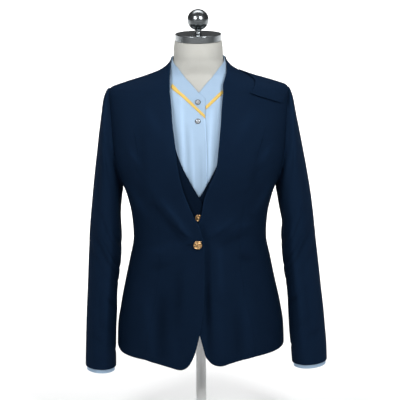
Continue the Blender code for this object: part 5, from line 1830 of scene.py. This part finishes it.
def build_blouse(cloth, yellow, glass, silver):
    right = blouse_front(-1, PLACKET_EDGE, RIGHT_NECK_SEAM, right_blouse_lift, cloth)
    left = blouse_front(1, UNDER_EDGE, LEFT_NECK_SEAM, left_blouse_lift, cloth)
    back = blouse_back(cloth)
    collar = blouse_collar(cloth)
    right_piping = piping(-1, RIGHT_NECK_SEAM, right_blouse_lift, yellow)
    left_piping = piping(1, LEFT_NECK_SEAM[1:], left_blouse_lift, yellow)
    for node in ("crystal_upper", "crystal_lower"):
        crystal_button(node, glass, silver)
    right_sleeve = blouse_sleeve(-1, sleeve_rings(RIGHT_SLEEVE), cloth)
    left_sleeve = blouse_sleeve(1, sleeve_rings(LEFT_SLEEVE), cloth)
    stitches("placket_stitches", along_edge(right, "l", PLACKET_STITCH), cloth)
    stitches("collar_stitches", along_edge(collar, "t", STITCH_INSET), cloth)
    return [right[0], left[0], back[0], collar[0], *right_sleeve, right_piping, *left_sleeve, left_piping]


# Camera of the photograph's view, in metres and degrees: distance, how far it looks down, roll
# about its own axis, height of its target and half the width that it sees there.  Then the
# picture's width and the column of the form's axis, in pixels.
CAMERA_DISTANCE = 6.0
CAMERA_TILT = 11.5
CAMERA_ROLL = 0.5
CAMERA_TARGET = 0.490
VIEW_HALF_WIDTH = 0.434
PICTURE_WIDTH = 400
AXIS_COLUMN = 199.6


def make_camera():
    data = bpy.data.cameras.new("camera")
    data.sensor_width = 36.0
    data.lens = data.sensor_width / 2 / (VIEW_HALF_WIDTH / CAMERA_DISTANCE)
    data.shift_x = (PICTURE_WIDTH / 2 - AXIS_COLUMN) / PICTURE_WIDTH
    data.clip_end = 100.0
    camera = bpy.data.objects.new("camera", data)
    tilt = math.radians(CAMERA_TILT)
    place = Vector((0, -CAMERA_DISTANCE * math.cos(tilt), CAMERA_TARGET + CAMERA_DISTANCE * math.sin(tilt)))
    look = Matrix.Rotation(math.pi / 2 - tilt, 4, "X") @ Matrix.Rotation(-math.radians(CAMERA_ROLL), 4, "Z")
    camera.matrix_world = Matrix.Translation(place) @ look
    bpy.context.scene.collection.objects.link(camera)
    bpy.context.scene.camera = camera


# Soft boxes: place and target in metres, width and height, watts, spread in degrees
LIGHTS = (
    ("box_right", (1.3, -2.0, 2.1), (0.03, 0, 1.1), (0.8, 1.1), 10.4, 70),
    ("box_left", (-1.35, -2.0, 2.1), (-0.03, 0, 1.1), (0.8, 1.1), 8.2, 70),
    ("over_floor", (0, 7.9, 3.6), (0, 7.9, 0), (16, 15), 1350, 90),
    ("over_front", (0, -10, 3.6), (0, -10, 0), (18, 15), 600, 90),
)
WORLD_STRENGTH = 0.10
# Round floor: radius in millimetres, and its corners
FLOOR_RADIUS = 16000.0
FLOOR_STEPS = 96


def area_light(name, place, target, size, power, spread):
    data = bpy.data.lights.new(name, "AREA")
    data.shape = "RECTANGLE"
    data.size, data.size_y = size
    data.energy = power
    data.spread = math.radians(spread)
    light = bpy.data.objects.new(name, data)
    light.location = place
    light.rotation_mode = "QUATERNION"
    light.rotation_quaternion = (Vector(target) - Vector(place)).to_track_quat("-Z", "Y")
    bpy.context.scene.collection.objects.link(light)


def make_stage():
    """Plain pale floor and soft studio light, brightest on the floor behind the object."""
    material, tree, shader = plain_finish("studio_floor", (0.93, 0.93, 0.93), 0.9, 0.0, 0.0)
    cloud = noise(tree, object_place(tree), 1.2, 3.0)
    link(tree, mix_colours(tree, cloud, (0.92, 0.92, 0.92), (0.94, 0.94, 0.94)), shader.inputs["Base Color"])
    verts = [(FLOOR_RADIUS * math.cos(a), FLOOR_RADIUS * math.sin(a), 0) for a in around(FLOOR_STEPS)]
    floor = new_mesh("floor", verts, [list(range(FLOOR_STEPS))], material)
    for row in LIGHTS:
        area_light(*row)
    world = bpy.data.worlds.new("studio")
    bpy.context.scene.world = world
    world.use_nodes = True
    background = world.node_tree.nodes["Background"]
    background.inputs["Color"].default_value = (0.97, 0.985, 1.0, 1)
    background.inputs["Strength"].default_value = WORLD_STRENGTH
    bpy.context.scene.view_settings.view_transform = "Standard"


# The piping's edges are turned under by a little, so its strip is cut this wide, in metres
NARROWEST_CUT = 0.0102


def declare(thing):
    """Cut of a piece: its width and length on the flat cloth, and its area."""
    places = np.zeros(len(thing.data.vertices) * 3, np.float32)
    thing.data.attributes["flat"].data.foreach_get("vector", places)
    width, length, _ = np.maximum(places.reshape(-1, 3).max(axis=0), NARROWEST_CUT)
    area = min(sum(face.area for face in thing.data.polygons) / 2, float(width) * float(length))


navy = cloth_finish_and_painted_shade(
    "navy_twill", (0.0034, 0.0096, 0.0235), (0.0049, 0.0134, 0.0325),
    rib=0.0008, slope=1.0, roughness=0.9, specular=0.02, bump=0.35, painted_hollow_shade=0.09,
)
dark_navy = cloth_finish_and_painted_shade(
    "dark_navy_twill", (0.0022, 0.0062, 0.015), (0.0034, 0.0090, 0.022),
    rib=0.0008, slope=1.0, roughness=0.9, specular=0.02, bump=0.35,
)
light_blue = cloth_finish_and_painted_shade(
    "blue_poplin", (0.30, 0.425, 0.575), (0.375, 0.505, 0.66),
    rib=0.00045, slope=0.0, roughness=0.7, specular=0.15, bump=0.2, painted_hollow_shade=0.17,
)
satin = cloth_finish_and_painted_shade(
    "yellow_satin", (0.61, 0.395, 0.08), (0.70, 0.485, 0.115),
    rib=0.0006, slope=0.6, roughness=0.5, specular=0.3, bump=0.25,
)
jersey = cloth_finish_and_painted_shade(
    "cream_knit", (0.435, 0.43, 0.40), (0.51, 0.51, 0.475),
    rib=0.0012, slope=0.0, roughness=0.9, specular=0.15, bump=0.4,
)
gold = metal_finish("gold_plate", (0.80, 0.53, 0.27), (0.33, 0.19, 0.08), 0.26)
chrome = metal_finish("chrome_plate", (0.29, 0.315, 0.325), (0.20, 0.215, 0.225), 0.22)

suiting = Cloth(JACKET_CLOTH, "navy_suiting", navy, jacket_relief)
dark_suiting = Cloth(VEST_CLOTH, "dark_navy_suiting", dark_navy, no_relief)
poplin = Cloth(BLOUSE_CLOTH, "light_blue_poplin", light_blue, blouse_relief)

form_cover(jersey)
cap_and_finial(chrome)
pole_and_base(enamel_finish())
blouse_sheets = build_blouse(poplin, satin, glass_finish(), chrome)
vest_sheets = build_vest(dark_suiting, dark_suiting._replace(material=navy), gold)
jacket_sheets = build_jacket(suiting, gold)
for sheet in jacket_sheets + vest_sheets + blouse_sheets:
    declare(sheet)
make_camera()
make_stage()
